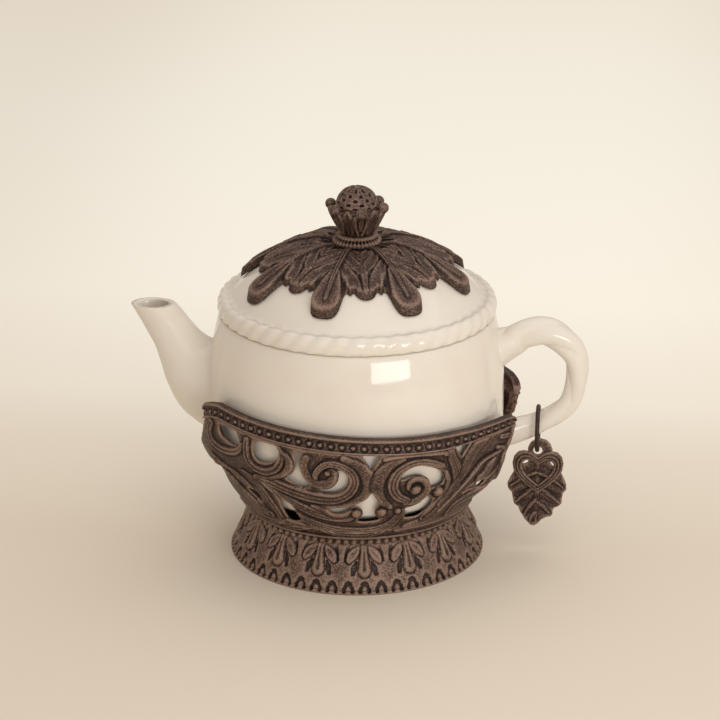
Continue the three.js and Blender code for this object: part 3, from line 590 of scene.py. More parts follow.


# Cream paper that rises out of focus into a bright backdrop. Its emission is painted light, which grows
# towards the back and fades a little to the sides
def makeFloor():
    bm = bmesh.new()
    bmesh.ops.create_grid(bm, x_segments=1, y_segments=1, size=floorLook["size"])
    mesh = meshFrom(bm)
    floor = newObject("floor", mesh)
    material, tree, shader, where = newMaterial("paperFloorWithPaintedLight")
    parts = addNode(tree, "ShaderNodeSeparateXYZ", {"Vector": where}).outputs
    # Painted light: the emission grows with depth and is turned down towards the sides
    depth = mapRange(tree, parts["Y"], 0.0, floorLook["reach"] * mm, 0.0, 1.0)
    start, end = floorLook["sides"]
    side = mapRange(tree, combine(tree, "ABSOLUTE", parts["X"]), start * mm, end * mm, 1.0, floorLook["edge"],
                    interpolation_type="SMOOTHSTEP")
    feed(tree, shader, {
        "Base Color": linear(floorLook["paper"]), "Roughness": floorLook["roughness"],
        "Specular IOR Level": floorLook["shine"], "Emission Color": ramp(tree, depth, floorLook["paintedLight"]),
        "Emission Strength": side,
    })
    mesh.materials.append(material)


makeCamera()
makeLights()
makeFloor()
bpy.context.scene.view_settings.view_transform = "Standard"
print("camera, light and floor made")

# Ceramic

bowlLook = dict(columns=192, wall=4.5, floor=5, footRing=8, footRecess=2, lip=1.5, edge=0.6)


def makeBowl():
    base, seat, outMouth = sizes["potBase"], sizes["bowlSeat"], sizes["bowlMouth"]
    wall, recess, edge = bowlLook["wall"], base + bowlLook["footRecess"], bowlLook["edge"]
    ring, floor, top = seat - bowlLook["footRing"], base + bowlLook["floor"], base + sizes["bowlHeight"]
    mouth = outMouth - wall - bowlLook["lip"]
    heights = np.concatenate([np.linspace(0, 12, 14), np.linspace(13.5, 103.6, 44)])
    foot = [(0.01, recess), (ring - 1, recess), (ring, base), (ring + 1, base)]
    outer = [(float(bowlRadiusAt(z)), base + z) for z in heights]
    lip = [(outMouth, top - edge), (outMouth - 0.5, top), (mouth + 0.5, top), (mouth, top - edge)]
    inner = [(float(bowlRadiusAt(z)) - wall, base + z) for z in np.linspace(92, 9, 30)]
    bm = bmesh.new()
    turned(bm, foot + outer + lip + inner + [(seat - 4, floor), (0.01, floor)], bowlLook["columns"])
    addPiece("teapotBowl", meshFrom(bm), glaze, "pot", "teapot_bowl")


spoutLook = dict(sides=64, steps=90, topCut=140.8)
# [out from the bowl's widest radius, height above the pot's foot, half thick, half wide], then
# the bore's share of both halves
spoutStations = [
    (37.6, 112.9, 9.4, 9.3), (32.9, 105.1, 9.8, 9.7), (26.6, 96.8, 11.4, 10.8), (20.5, 87.4, 12.5, 12),
    (15.5, 78.9, 15, 13.8), (10.3, 71.8, 19.2, 16.4), (3.4, 65.6, 24.5, 19.5), (-4, 61.5, 27.5, 22),
    (-16, 57, 30, 24),
]
boreShares = (0.73, 0.73, 0.72, 0.72, 0.72, 0.72, 0.7, 0.66, 0.6)
handleLook = dict(sides=72, steps=260, strands=3, turns=1.5, relief=0.09, fade=0.08)
# [out from the bowl's widest radius, height above the pot's foot, half thickness]
handleStations = [
    (-8.1, 83.5, 12), (3.3, 89.5, 9), (9.5, 94, 8.1), (18.7, 96.2, 8.1), (27.5, 94.6, 8),
    (35.3, 88.6, 7.5), (39.9, 79.6, 6.5), (40.2, 67.4, 6), (36.9, 55.9, 5.8), (29, 47.6, 5.9),
    (19, 41.6, 6.2), (9.5, 38.3, 7.2), (1.5, 36.3, 8.6), (-8.1, 35, 10),
]


# Rings of a tube in the XZ plane through rows of [x, z, half thick, half wide]
def tubeRings(stations, look, relief=lambda angle, share: 1):
    rows = resample(stations, look["steps"])
    ahead = np.gradient(rows[:, :2], axis=0)
    ahead /= np.linalg.norm(ahead, axis=1)[:, None]
    angle = np.linspace(0, 2 * math.pi, look["sides"], endpoint=False)
    rings = []
    for i, (x, z, thick, wide) in enumerate(rows):
        size = relief(angle, i / (look["steps"] - 1))
        out = np.cos(angle) * thick * size
        y = np.sin(angle) * wide * size
        rings.append(np.stack([x - ahead[i, 1] * out, y, z + ahead[i, 0] * out], 1) * mm)
    return rings


# Draws what would lie inside the bowl out to just below its surface
def fitToBowl(mesh, below=0.7):
    spots = pointsOf(mesh) / mm
    r = np.hypot(spots[:, 0], spots[:, 1])
    limit = bowlRadiusAt(np.clip(spots[:, 2] - sizes["potBase"], 0, sizes["bowlHeight"])) - below
    spots[:, :2] *= np.maximum(1, limit / np.maximum(r, 1e-3))[:, None]
    movePoints(mesh, spots * mm)
    return mesh


def makeSpout():
    base, radius = sizes["potBase"], sizes["bowlRadius"]
    outer = [(-radius - out, base + z, thick, wide) for out, z, thick, wide in spoutStations]
    inner = [(x, z, thick * s, wide * s) for (x, z, thick, wide), s in zip(outer, boreShares)]
    bm = bmesh.new()
    skin(bm, tubeRings(outer, spoutLook) + tubeRings(inner, spoutLook)[::-1], loop=True)
    whole = bm.verts[:] + bm.edges[:] + bm.faces[:]
    cut = Vector((0, 0, spoutLook["topCut"] * mm))
    bmesh.ops.bisect_plane(bm, geom=whole, plane_co=cut, plane_no=(0, 0, 1), clear_outer=True)
    bmesh.ops.bridge_loops(bm, edges=[e for e in bm.edges if e.is_boundary])
    addPiece("spout", fitToBowl(meshFrom(bm)), glaze, "pot", "spout")


def makeHandle():
    base, radius = sizes["potBase"], sizes["bowlRadius"]
    stations = [(radius + out, base + z, half, half) for out, z, half in handleStations]

    def strands(angle, share):
        phase = handleLook["strands"] * (angle - 2 * math.pi * handleLook["turns"] * share) / 2
        fade = min(1, share / handleLook["fade"], (1 - share) / handleLook["fade"])
        return 1 + handleLook["relief"] * fade * (1.6 * np.abs(np.cos(phase)) - 1.2)

    bm = bmesh.new()
    skin(bm, tubeRings(stations, handleLook, strands))
    addPiece("handle", fitToBowl(meshFrom(bm)), glaze, "pot", "handle")


lidLook = dict(
    columns=480, wall=5, studHole=2.7, flange=68.6, flangeInside=64.1, flangeDrop=7.6, seam=0.3,
    ropeCentre=73.4, ropeHeight=4.7, ropeHalfWide=4.0, ropeHalfHigh=4.4, ropeCrown=1.4,
    lobes=48, ropeRelief=0.8, slant=-0.9,
)


def makeLid():
    look, base = lidLook, sizes["lidBase"]
    centre, middle = look["ropeCentre"], base + look["ropeHeight"]
    halfWide, halfHigh = look["ropeHalfWide"], look["ropeHalfHigh"]
    low, high = np.radians(np.arange(-90, 0, 10)), np.radians(np.arange(0, 121, 10))
    rope = [(centre + halfWide * max(0, math.cos(a)) ** 0.5, middle + halfHigh * math.sin(a)) for a in low]
    rope += [(centre + halfWide * math.cos(a), middle + (halfHigh + look["ropeCrown"]) * math.sin(a))
             for a in high]
    outside = [(float(r), float(domeHeight(r))) for r in np.linspace(69.0, look["studHole"], 60)]
    inside = [(float(r), float(domeHeight(r)) - look["wall"]) for r in np.linspace(10, 60, 30)]
    flange = [(look["flangeInside"], base - look["flangeDrop"]), (look["flange"], base - look["flangeDrop"]),
              (look["flange"], base + look["seam"])]
    profile = (flange + rope + outside + [(look["studHole"], inside[0][1])] + inside
               + [(look["flangeInside"], base + look["seam"])])

    def relief(bearing, r, z):
        near = np.clip(1 - ((r - centre) ** 2 / 36 + (z - middle) ** 2 / 60), 0, 1) * (z > base + 0.4)
        phase = look["lobes"] * bearing / 2 + look["slant"] * np.arctan2(z - middle, r - centre)
        return -look["ropeRelief"] * np.sqrt(near) * np.abs(np.cos(phase)) ** 2.6

    bm = bmesh.new()
    turned(bm, profile, look["columns"], relief)
    addPiece("lidShell", meshFrom(bm), glaze, "lid", "lid_shell")


makeBowl()
makeSpout()
makeHandle()
makeLid()
print("ceramic made")

# Stand

flatRadius = 85.0  # radius at which a bearing and a length along the wall match


# A curve through [place, value] pairs
def onCurve(place, pairs):
    return np.interp(place, *zip(*pairs))


# How far the basket's ears lean out of its round shape
def flareAt(bearing, z):
    right = np.clip((bearing - 52) / 22, 0, 1)
    left = np.clip((-bearing - 44) / 20, 0, 1)
    return (right**2 * (3 - 2 * right) * onCurve(z, panelLook["rightFlare"])
            + left**2 * (3 - 2 * left) * onCurve(z, panelLook["leftFlare"]))


# Places points given along the wall, up and outwards on the basket
def onBasket(u, v, t):
    bearing = u / flatRadius
    return aroundAxis(bearing, basketRadius(v) + t + flareAt(np.degrees(bearing), v), v)


# Points of [bearing in degrees, height, ...] as lengths along the wall
def flat(points):
    return [(math.radians(p[0]) * flatRadius, *p[1:]) for p in points]


# Strokes on the basket, a little wider than they are written
def onWall(motif):
    wide = panelLook["wide"]
    return [([(x, z, half * wide) for x, z, half in flat(points)], look) for points, look in motif]


panelLook = dict(
    step=0.44, wall=4, thin=1.3, ground=0.5, soft=0.9, inset=0.9, wide=1.18, handleNotch=23, spoutNotch=41,
    scallop=3.3, scallopDepth=0.7, earShift=[(52, 0), (60, 2), (80, 2), (86, 0)],
    ear=[(63.5, 0), (64.5, 66), (66.5, 69.5), (72, 70), (80, 67), (88, 63.5), (97, 60), (98, 0)],
    rightFlare=[(40, 0), (46, 3.2), (52, 4.6), (63, 4.6), (76, 4.3), (98, 3.6)],
    leftFlare=[(38, 0), (46, 0.8), (58, 1.0), (63.5, 1.2), (65, 4.2), (72, 4.6), (80, 2.6), (90, 1.4),
               (98, 1.2)],
)
# The pierced openings, each [bearing, height] round its edge
openings = {
    "eye1": [(-51.2, 91.9), (-45.9, 92.4), (-41.7, 91.8), (-41.6, 90), (-40.7, 85.7), (-41.8, 83.9),
             (-44.2, 82.8), (-47.6, 83.4), (-51.3, 85.5), (-52.3, 88.5)],
    "eye2": [(-33.1, 89.3), (-30.5, 91), (-26.2, 90.9), (-23.6, 90.3), (-22.6, 87.5), (-24, 82.8),
             (-26.8, 79.9), (-30, 78.5), (-32.6, 78.4), (-34.1, 80.9), (-34.3, 85.7)],
    "crescent": [(-21.4, 72.1), (-18.6, 75.2), (-16.7, 80.6), (-16.8, 85.4), (-16.8, 88.5), (-14, 89.3),
                 (-14.9, 85.9), (-15.4, 80.4), (-14.8, 75.1), (-12.3, 69), (-13.8, 67), (-17.4, 68.3),
                 (-19.5, 69.9)],
    "volute1": [(-9.3, 66.1), (-6.1, 67), (-3.4, 68.8), (-1.5, 72.9), (-0.9, 77.4), (-0.9, 80.1),
                (0.5, 79.5), (2.2, 76.5), (2.4, 73.1), (1.5, 69.2), (-1, 66.2), (-4.5, 64.9), (-7.7, 65.1)],
    "topTriangle": [(7.5, 89.3), (10.6, 89.2), (13.8, 88.9), (12.2, 85), (10.8, 80.2), (9.2, 84.9)],
    "middle": [(11.1, 65.2), (9, 61.2), (5.2, 57.8), (-0.1, 55.2), (-5.9, 53.5), (-5.3, 51.9), (-3.7, 50.6),
               (-0.3, 51), (2.5, 53.8), (3.9, 55.9), (5.2, 56.3), (7, 54.7), (8, 51.1), (7.3, 48.1),
               (5.8, 45.3), (10.2, 44.6), (15, 45.9), (13.5, 48.3), (12.8, 51.4), (13.2, 54.9),
               (14.3, 58.7), (12.6, 62.2)],
    "almond": [(-32.2, 65.4), (-29.2, 62.2), (-26.3, 57.5), (-23.2, 54), (-20.8, 48.2), (-19.5, 43.1),
               (-22.9, 40.7), (-26.1, 41.2), (-27.3, 46.6), (-27.3, 53), (-28.6, 59.5), (-30.9, 63.7)],
    "volute2": [(21.7, 73.5), (22.3, 77.1), (24.6, 79.8), (28, 80.8), (32.4, 78.7), (37.2, 74.9),
                (39.1, 72.1), (40, 68.3), (39.5, 65.3), (36.8, 64.5), (34.6, 64), (33.7, 68.4),
                (32.2, 71.6), (29.6, 74.1), (26.9, 74.5), (24.4, 73.8), (22.5, 72.8)],
    "low2": [(25.5, 52), (27.8, 52.6), (31.3, 54.3), (34, 58.1), (35.7, 57), (37.4, 54.6), (36.9, 51.2),
             (34.5, 47.3), (32.3, 45), (29.1, 45), (26.3, 45.4), (26.5, 49.1)],
    "rightTriangle": [(43.2, 87.5), (49.1, 86.7), (47.8, 83.5), (46.4, 80.1), (44.6, 83.7)],
    "earSlit": [(54.3, 51.8), (58.9, 56.4), (62.7, 57.1), (65.8, 55.4), (64, 52.8), (57.5, 53.6),
                (54.1, 53.5)],
    "slitA": [(-53, 59.8), (-49.6, 60.3), (-49.3, 57.5), (-48.6, 60.3)],
    "slitB": [(-44.5, 54.4), (-40.6, 56.4), (-38.4, 54.3), (-37.8, 49.1), (-41.3, 51.2)],
}
# [bearing, height, half width] along each stroke, then its look. Later ones lie on top
strokes = [
    ([(-9.1, 54.7, 1.4), (-0.4, 56.2, 2.2), (6, 59.9, 2.8), (9.6, 65.7, 3.2), (10.2, 72.2, 3.4),
      (8.7, 78.6, 3.2), (5.4, 84, 2.6), (1, 87.8, 1.8)], dict(height=1.5, crown=1.6)),
    ([(18.5, 55.1, 1.6), (14.9, 60.2, 2.6), (13, 66.2, 3.2), (12.9, 72.7, 3.4), (14.6, 78.9, 3.2),
      (17.8, 84, 2.6), (21.7, 86.8, 1.8)], dict(height=1.5, crown=1.6)),
    ([(-35, 66.9, 2.2), (-28.3, 66.8, 3.4), (-21.3, 64.1, 3.6), (-13, 61.5, 3.6), (-4.8, 60.7, 3.3),
      (0.4, 63, 2.8), (3.6, 68.2, 2.6), (4.6, 73.8, 2.5), (3.5, 79.2, 2.3), (0.5, 82.9, 2.1),
      (-2.9, 84.5, 1.9), (-5.9, 83.4, 1.8), (-8.1, 80.3, 1.6), (-9.5, 76.2, 1.4), (-9.3, 73, 0.8)],
     dict(height=2.0, ridges=3)),
    ([(-33.8, 65.2, 1.2), (-27.6, 60.2, 1.9), (-20.9, 55.8, 2.4), (-15.6, 52, 2.8), (-10.1, 49, 2.8),
      (-3.9, 47.5, 2.6), (1, 47.3, 2.2), (3.4, 48.1, 1.6)], dict(height=1.9, ridges=3)),
    ([(-12.3, 55.1, 1), (-8.3, 52.9, 1.8), (-4.5, 50, 2.2), (-0.3, 49.8, 2), (3.1, 51.7, 1.6)],
     dict(height=1.7)),
    ([(-24, 50.5, 1), (-19.5, 45.5, 2), (-13, 40.6, 3), (-5.5, 37.2, 3.7), (2.1, 35.8, 4), (9.7, 36, 3.8),
      (15.7, 38, 3.4), (20.3, 42, 2.8), (22.8, 47, 2.4), (24.1, 50.6, 2)],
     dict(height=1.9, ridges=5, groove=0.9)),
    ([(-42.4, 67.9, 1), (-38.3, 65.6, 1.5), (-35, 60.9, 2), (-32.7, 53.9, 2.4), (-30.9, 46.4, 2.5),
      (-29.9, 39.7, 2.4)], dict(height=1.6, ridges=2, groove=0.7)),
    ([(-58.3, 70.7, 1), (-53.2, 66, 1.5), (-47.2, 62.7, 1.8), (-42.5, 58.5, 2), (-39.4, 52.1, 2),
      (-38.5, 44.4, 2.1), (-35.4, 40.8, 2)], dict(height=1.8, ridges=3)),
    ([(-57.9, 66.7, 1.2), (-56, 61.8, 1.8), (-52.8, 57, 2.4), (-48.7, 52.1, 3), (-45, 47.9, 3.2),
      (-40.9, 44.2, 3), (-38, 41.2, 2.4)], dict(height=2.0)),
    ([(-56.5, 90.8, 2), (-58.4, 84.5, 2.2), (-57.2, 79.6, 2.3), (-52.3, 77.1, 2.3), (-46.4, 77.9, 2.2),
      (-41.7, 81.1, 1.6), (-38.9, 86, 1.2)], dict(height=1.7, ridges=2)),
    ([(-36.2, 90.5, 1.5), (-37.2, 84.3, 2), (-37.3, 77.4, 2.3), (-34.4, 73.3, 2.5), (-29.8, 72.8, 2.5),
      (-25.3, 75.8, 2.3), (-22.5, 81.2, 2), (-21.7, 86.2, 1.6), (-22.4, 90.1, 1.2)],
     dict(height=1.8, ridges=2)),
    ([(-21.5, 88.3, 1), (-19.8, 85.8, 1.7), (-19, 81.8, 2), (-20.2, 77.1, 1.8), (-23.2, 72.8, 1.4),
      (-28.4, 69.2, 1)], dict(height=1.5)),
    ([(-12.3, 87, 1.6), (-13.4, 81.3, 1.8), (-12.7, 75.5, 2.2), (-10.7, 71.2, 2.4), (-7.8, 70.5, 2.5),
      (-4.6, 72, 2.2), (-2.9, 76.1, 1.8), (-3.1, 80, 1.4), (-4.5, 79.8, 1)], dict(height=1.2)),
    ([(24.7, 56.9, 1.6), (28.9, 57.3, 2.2), (32, 60.5, 2.3), (32.9, 65.4, 2.1), (31.1, 70, 1.8),
      (28.1, 72.4, 1.6), (25.3, 70.9, 1.4), (25, 67, 1.2), (27.3, 64.2, 1)], dict(height=1.9)),
    ([(37.2, 78.2, 1.6), (32.8, 81, 2.1), (28.7, 82.7, 2.3), (24.7, 82.2, 2.5), (20.9, 78.9, 2.7),
      (18.9, 73.2, 2.8), (19.1, 67, 2.8), (21.5, 61.6, 2.5), (25.2, 58.3, 2)], dict(height=2.0, ridges=3)),
    ([(15.2, 86.8, 1), (19.9, 87.9, 1.2), (25.8, 88.2, 1.2), (32.2, 87.2, 1.2), (36.9, 85.9, 1)],
     dict(height=1.4)),
    ([(40.1, 87.1, 1.6), (41.5, 81.3, 2.2), (44.1, 74.4, 2.7), (46.4, 66.7, 2.9), (46.9, 59.9, 3),
      (45.4, 54.1, 3.1), (42.9, 48.9, 3.2), (40.9, 44.3, 3.2), (37, 41, 2.8), (31.5, 39.5, 2.2),
      (27.2, 38.7, 1.5)], dict(height=1.9, ridges=4)),
    ([(39.9, 73.2, 1), (42, 66.5, 1.3), (41.8, 59.8, 1.5), (40.2, 54.7, 1.6), (38.4, 50.2, 1.6),
      (36.1, 46.1, 1.4), (34.1, 42.6, 1.1)], dict(height=1.3)),
    ([(56.8, 86.9, 2.4), (53, 83.3, 3.4), (50.3, 77.7, 3.6), (49.1, 70.7, 3.4), (47, 64.1, 2.9),
      (44.1, 57.5, 2.3), (40.9, 50.7, 1.6)], dict(height=1.7, beads=0.12, pitch=1.2)),
    ([(68.4, 74.7, 0.7), (61.9, 73.5, 0.8), (57.7, 71.8, 0.9), (55.2, 67.2, 0.9), (52.8, 62.5, 0.9),
      (49, 57.1, 0.9), (45.1, 50.8, 0.8), (41.5, 45.4, 0.7)], dict(height=2.4)),
    ([(64.5, 70.4, 1), (63.1, 67.1, 2.4), (62.6, 62.2, 3.2), (60, 60.1, 2.4)], dict(height=1.9)),
    ([(64.6, 77.5, 1), (71.2, 73.1, 1.4), (71.3, 69.3, 1.7), (70.5, 62.8, 1.8), (67.1, 58.7, 1.6),
      (63.9, 58, 1.1)], dict(height=1.6)),
    ([(65.9, 83.2, 1.4), (73.5, 80.2, 1.6), (75.2, 75.1, 1.7), (74.5, 65.6, 1.8), (72.5, 57.2, 1.9),
      (69.3, 52.9, 1.6)], dict(height=1.5, ridges=2)),
    ([(73.5, 87.5, 1.4), (72.6, 81, 1.5), (71.2, 74, 1.5), (70.3, 68, 1.5), (72.4, 60, 1.6),
      (74.6, 53, 1.6)], dict(height=2.1)),
    ([(68.3, 50.6, 1.8), (63.5, 49.1, 2.5), (57.6, 47.5, 3), (52.2, 44.7, 3), (50.1, 40, 2.6)],
     dict(height=1.6, ridges=2)),
    ([(-28.2, 39.7, 1), (-23.9, 39.3, 1.2), (-20.9, 39.2, 1.1), (-18.6, 38.9, 0.8)], dict(height=1.2)),
]
# What the basket's base has besides the lower ends of those strokes
baseStrokes = [
    ([(-74, 41, 1.6), (-62, 36.6, 2.2), (-50, 34.8, 2.4), (-38, 34.6, 2.2), (-28, 36.4, 1.6)],
     dict(height=1.5, ridges=3)),
    ([(-32, 33.4, 1.0), (-24, 34.6, 1.7), (-17, 37.4, 1.7)], dict(height=1.4, ridges=2)),
    ([(24, 36.5, 2.0), (33, 34.8, 2.6), (43, 35.2, 2.6), (52, 37.6, 2.0)],
     dict(height=1.5, beads=0.12, pitch=1.2)),
    ([(46, 33.2, 1.2), (58, 34.4, 2.0), (70, 37, 2.0), (84, 41, 1.6)], dict(height=1.5, ridges=3)),
    ([(-88, 31.4, 0.7), (-40, 31.3, 0.8), (0, 31.2, 0.8), (40, 31.3, 0.8), (88, 31.4, 0.7)],
     dict(height=1.5, keep=0.8)),
]
# Knobs as [bearing, height, radius]
balls = [
    (-4.9, 78.5, 1.9), (5.2, 51.2, 3.1), (15.5, 51.8, 3.1), (22.1, 51.6, 2.2), (38.1, 60.7, 3.2),
    (38.2, 85.3, 1.7), (34.3, 42.2, 1.4), (63.6, 72.6, 1), (27.7, 65.5, 3.4),
]


# Where the panel ends, as the notches in the CAD part cut it
def earBearing(side, z):
    floor, corner = sizes["panelBottom"], sizes["railTop"] - side * sizes["railSlope"] * sizes["railRadius"]
    half = panelLook["handleNotch"] if side > 0 else panelLook["spoutNotch"]
    across = onCurve(z, [(floor, half - 10), (floor + 14, half - 6), (floor + 31.4, half + 3.6),
                         (corner - 8, half), (corner - 4.6, half + 1.5), (corner - 1.8, half + 7)])
    bearing = math.degrees(math.acos(min(1, across / float(basketRadius(z)))))
    if side > 0:
        return bearing + onCurve(z, panelLook["earShift"])
    return -max(bearing, onCurve(z, panelLook["ear"]))


def panelTop(bearing, gap=0.3):
    x = basketRadius(91.0) * math.sin(math.radians(bearing))
    bottom = sizes["railTop"] - sizes["railHeight"] + onCurve(bearing, railLook["lift"])
    return float(bottom - gap - sizes["railSlope"] * x)


def closedSpline(points, step):
    ring = spline(points[-2:] + points + points[:2], step)
    gaps = np.linalg.norm(ring[:, :2] - np.array(points[0]), axis=1)
    half = len(gaps) // 2
    return ring[np.argmin(gaps[:half]) : half + np.argmin(gaps[half:])]


def makePanel():
    look, floor = panelLook, sizes["panelBottom"]
    left = [(earBearing(-1, z), z) for z in np.linspace(floor, panelTop(-62), 30)]
    right = [(earBearing(1, z), z) for z in np.linspace(panelTop(74), floor, 30)]
    top = [(b, panelTop(b)) for b in np.linspace(-60, 72, 60)]
    bottom = [(b, floor) for b in np.linspace(right[-1][0] - 2, left[0][0] + 2, 60)]
    outline = flat(left + top + right + bottom)
    holes = [closedSpline(flat(points), 1.2) for points in openings.values()]
    raised = onWall(strokes)
    knobs = [(u, v, radius, radius * 0.9 + 0.9) for u, v, radius in flat(balls)]

    def edge(u, v):
        inner = loopDistance(u, v, outline)
        scallop = look["scallopDepth"] * np.abs(np.sin(math.pi * v / look["scallop"])) - 0.3
        ends = ((u < -84) & (v > 60)) | ((u > 78) & (v > 48) & (v < 77))
        inner = np.where(ends, inner + scallop, inner)
        for hole in holes:
            near = inBox(u, v, hole, 3)
            inner[near] = np.minimum(inner[near], -loopDistance(u[near], v[near], hole))
        return inner

    def height(u, v, inner):
        t = studs(u, v, carve(u, v, raised, look["ground"]), knobs)
        soft = np.clip(1 - inner / look["soft"], 0, 1)
        return t - look["inset"] - look["soft"] * (1 - np.sqrt(1 - soft**2))

    def back(inner):
        return -look["thin"] - (look["wall"] - look["thin"]) * np.clip(inner / 2.5, 0, 1)

    ends = [p[0] for p in outline]
    extent = ((min(ends) - 1, max(ends) + 1), (floor - 0.5, 97.5))
    mesh = reliefSheet(extent, look["step"], edge, height, onBasket, back)
    addCasting("frontScrollPanel", mesh, "stand", "front_scroll_panel")
    addBackHalf("backScrollPanel", mesh, "back_scroll_panel")
    print("panel faces", len(mesh.polygons))


railLook = dict(
    step=0.42, wallInside=86, lower=1.1, beadAt=3.8, pitch=6.0, bead=1.5, beadHigh=1.25, socket=2.5,
    notches=(41.2, 23.2), corners=((4.0, 2.5), (5.0, 3.0)), lift=[(37, 0), (52, 1.0), (62, 1.3)],
    leftSag=[(0, 6.4), (2, 5.2), (8, 2.8), (14, 1.0), (18, 0)], endSag=[(0, 2.6), (5, 1.2), (12, 0)],
    rightSag=[(0, 1.8), (7, 1.6), (20, 1.3), (36, 1.1), (50, 0)],
)


# The rail's section is swept along the basket. Beads in sockets stand in its face, its corners
# are round, its lower edge lifts towards the handle, and both ends sag
def makeRail():
    look, wall = railLook, sizes["railRadius"]
    low, top = sizes["railTop"] - sizes["railHeight"], sizes["railTop"] - look["lower"]
    inside = look["wallInside"]
    ends = (-math.acos(look["notches"][0] / wall), math.acos(look["notches"][1] / wall))
    face = [(89.2, low), (90.0, low + 0.5), (90.1, low + 1.1), (89.4, low + 1.7), (89.3, top - 2.4),
            (89.9, top - 2.0), (90.3, top - 1.5), (90.3, top - 0.8), (89.9, top - 0.3), (89.3, top)]
    hidden = [(86.6, top), (86.1, top - 0.4), (inside, top - 1.2), (inside, low)]
    section = dense([(inside, low), face[0]], 1.2, False)[:-1] + dense(face + hidden, 0.42, False)[:-1]
    r, z = np.array(section).T
    share = (z - low) / sizes["railHeight"]
    upright = np.abs(r - 89.35) < 0.2
    length = (ends[1] - ends[0]) * wall
    beads = round(length / look["pitch"])
    rim = look["socket"] / look["bead"]
    rings = []
    for b in np.linspace(ends[0], ends[1], int(length / look["step"])):
        fromSpout, fromHandle = (b - ends[0]) * wall, (ends[1] - b) * wall
        place = (b - ends[0]) / (ends[1] - ends[0]) * beads
        d = np.hypot((place % 1 - 0.5) * look["pitch"], z - low - look["beadAt"]) / look["bead"]
        fade = min(1, max(0, min(fromSpout, fromHandle) - 2))
        knob = look["beadHigh"] * np.sqrt(np.clip(1 - d**2, 0, 1)) * fade
        socket = 0.3 * np.clip(1 - np.abs(d - rim) / 0.42, 0, 1) - 0.5 * (d < rim)
        drop = sum(fall * (1 - math.sqrt(1 - np.clip(1 - near / run, 0, 1) ** 2))
                   for near, (run, fall) in zip((fromSpout, fromHandle), look["corners"]))
        out = r + flareAt(math.degrees(b), 98) + np.where(upright, knob + socket, 0)
        high = z - drop * share - sizes["railSlope"] * r * math.sin(b)
        high += onCurve(math.degrees(b), look["lift"]) * (1 - share)
        high -= onCurve(fromSpout, look["leftSag"]) + onCurve(fromHandle, look["endSag"])
        high -= share * onCurve(fromHandle, look["rightSag"])
        rings.append(aroundAxis(b, out, high))
    bm = bmesh.new()
    skin(bm, rings)
    mesh = meshFrom(bm)
    # Painted shade: the rail's faces that look up are darkened, for the dark line where the bowl meets it
    addCasting("frontRail", mesh, "stand", "front_rail",
               facingShade=lambda up: 0.9 * np.clip((up - 0.5) / 0.3, 0, 1))
    addBackHalf("backRail", mesh, "back_rail")


footLook = dict(
    leaves=16, arches=48, columns=1024, turn=9.0, middle=66.0, ground=0.8, archTop=7.6, bore=48.0, inset=2.1,
)


def footRadiusAt(z):
    share = np.clip((z - sizes["footRim"]) / (sizes["footHeight"] - sizes["footRim"]), 0, 1)
    spread = sizes["footRadius"] - sizes["waistRadius"]
    return sizes["waistRadius"] + spread * (1 - share ** sizes["footRoundness"])


# Strokes of [along the foot, height, half width] from the middle of a leaf, with their looks
footMotif = (
    pair([(4.4, 16.2, 0.6), (5.6, 13.4, 1.5), (6.4, 10.6, 1.1)],
         dict(height=-0.5, base=-0.5, keep=0, trench=0.3))
    + pair([(9.2, 24.4, 0.8), (10.0, 20.6, 1.1), (10.6, 17.0, 0.7)],
           dict(height=-0.2, base=-0.2, keep=0, trench=0.3))
    + pair([(1.4, 23.2, 1.3), (4.4, 21.9, 2.2), (7.2, 19.2, 2.7), (8.6, 17.2, 1.7)],
           dict(height=1.7, dish=0.4, crown=1.7))
    + [([(0, 25.4, 1.9), (0, 20.5, 2.2), (0, 15.5, 3.0), (0, 12.2, 3.6)],
        dict(height=2.0, ridges=2, groove=0.6, crown=2.8))]
)
# The small arches along its lower edge
footArch = [
    ([(0, 0.6, 3.2), (0, 3.4, 3.0), (0, 4.6, 2.2)], dict(height=-0.4, base=-0.4, keep=0, trench=0.0)),
    ([(0, 0.6, 1.5), (0, 2.4, 1.7), (0, 3.2, 1.2)],
     dict(height=1.0, base=-0.4, crown=1.1, keep=0, trench=0.0)),
]


# For a turned casting with modelled and hidden faces: bearing in degrees and height of each
# modelled point, column by column
def facePoints(face, columns):
    bearings = np.arange(columns) / columns * 360
    return np.repeat(bearings, len(face)), np.tile([z for _, z in face], columns)


# Those points' heights as one row per column, with the hidden faces left as they are
def columnHeights(t, columns, hidden):
    return np.hstack([t.reshape(columns, -1), np.zeros((columns, len(hidden)))])


def makeFoot():
    look, top, rim = footLook, sizes["footHeight"], sizes["footRadius"]
    columns, bore = look["columns"], look["bore"]
    slope = [(float(footRadiusAt(z)) - look["inset"], float(z)) for z in np.linspace(1.5, top, 24)]
    face = dense([(rim - 1.4, 1.1)] + slope, 0.42, False)
    hidden = dense([(bore, top), (bore, top - 3), (57.8, top - 3), (67.7, 3), (67.7, 0), (rim - 0.4, 0),
                    (rim, 0.3), (rim, 0.8)], 3, False)
    bearing, v = facePoints(face, columns)
    leaf, arch = (np.radians(folded(bearing - look["turn"], 360 / count)) * look["middle"]
                  for count in (look["leaves"], look["arches"]))
    t = carve(leaf, v, footMotif, look["ground"], 1.0, 1.0)
    low = v < look["archTop"]
    t[low] = np.minimum(t[low], carve(arch[low], v[low], footArch, 1.0, 0.0, 0.3))
    t *= np.clip((top - v) / 0.8, 0, 1)
    bm = bmesh.new()
    turned(bm, face + hidden, columns, columnHeights(t, columns, hidden))
    addCasting("standFoot", meshFrom(bm), "stand", "stand_foot", 14, 0.5, lambda up: -0.35)


collarLook = dict(beads=88, bead=1.8, beadsAt=(61.7, 2.1), voxel=0.4)


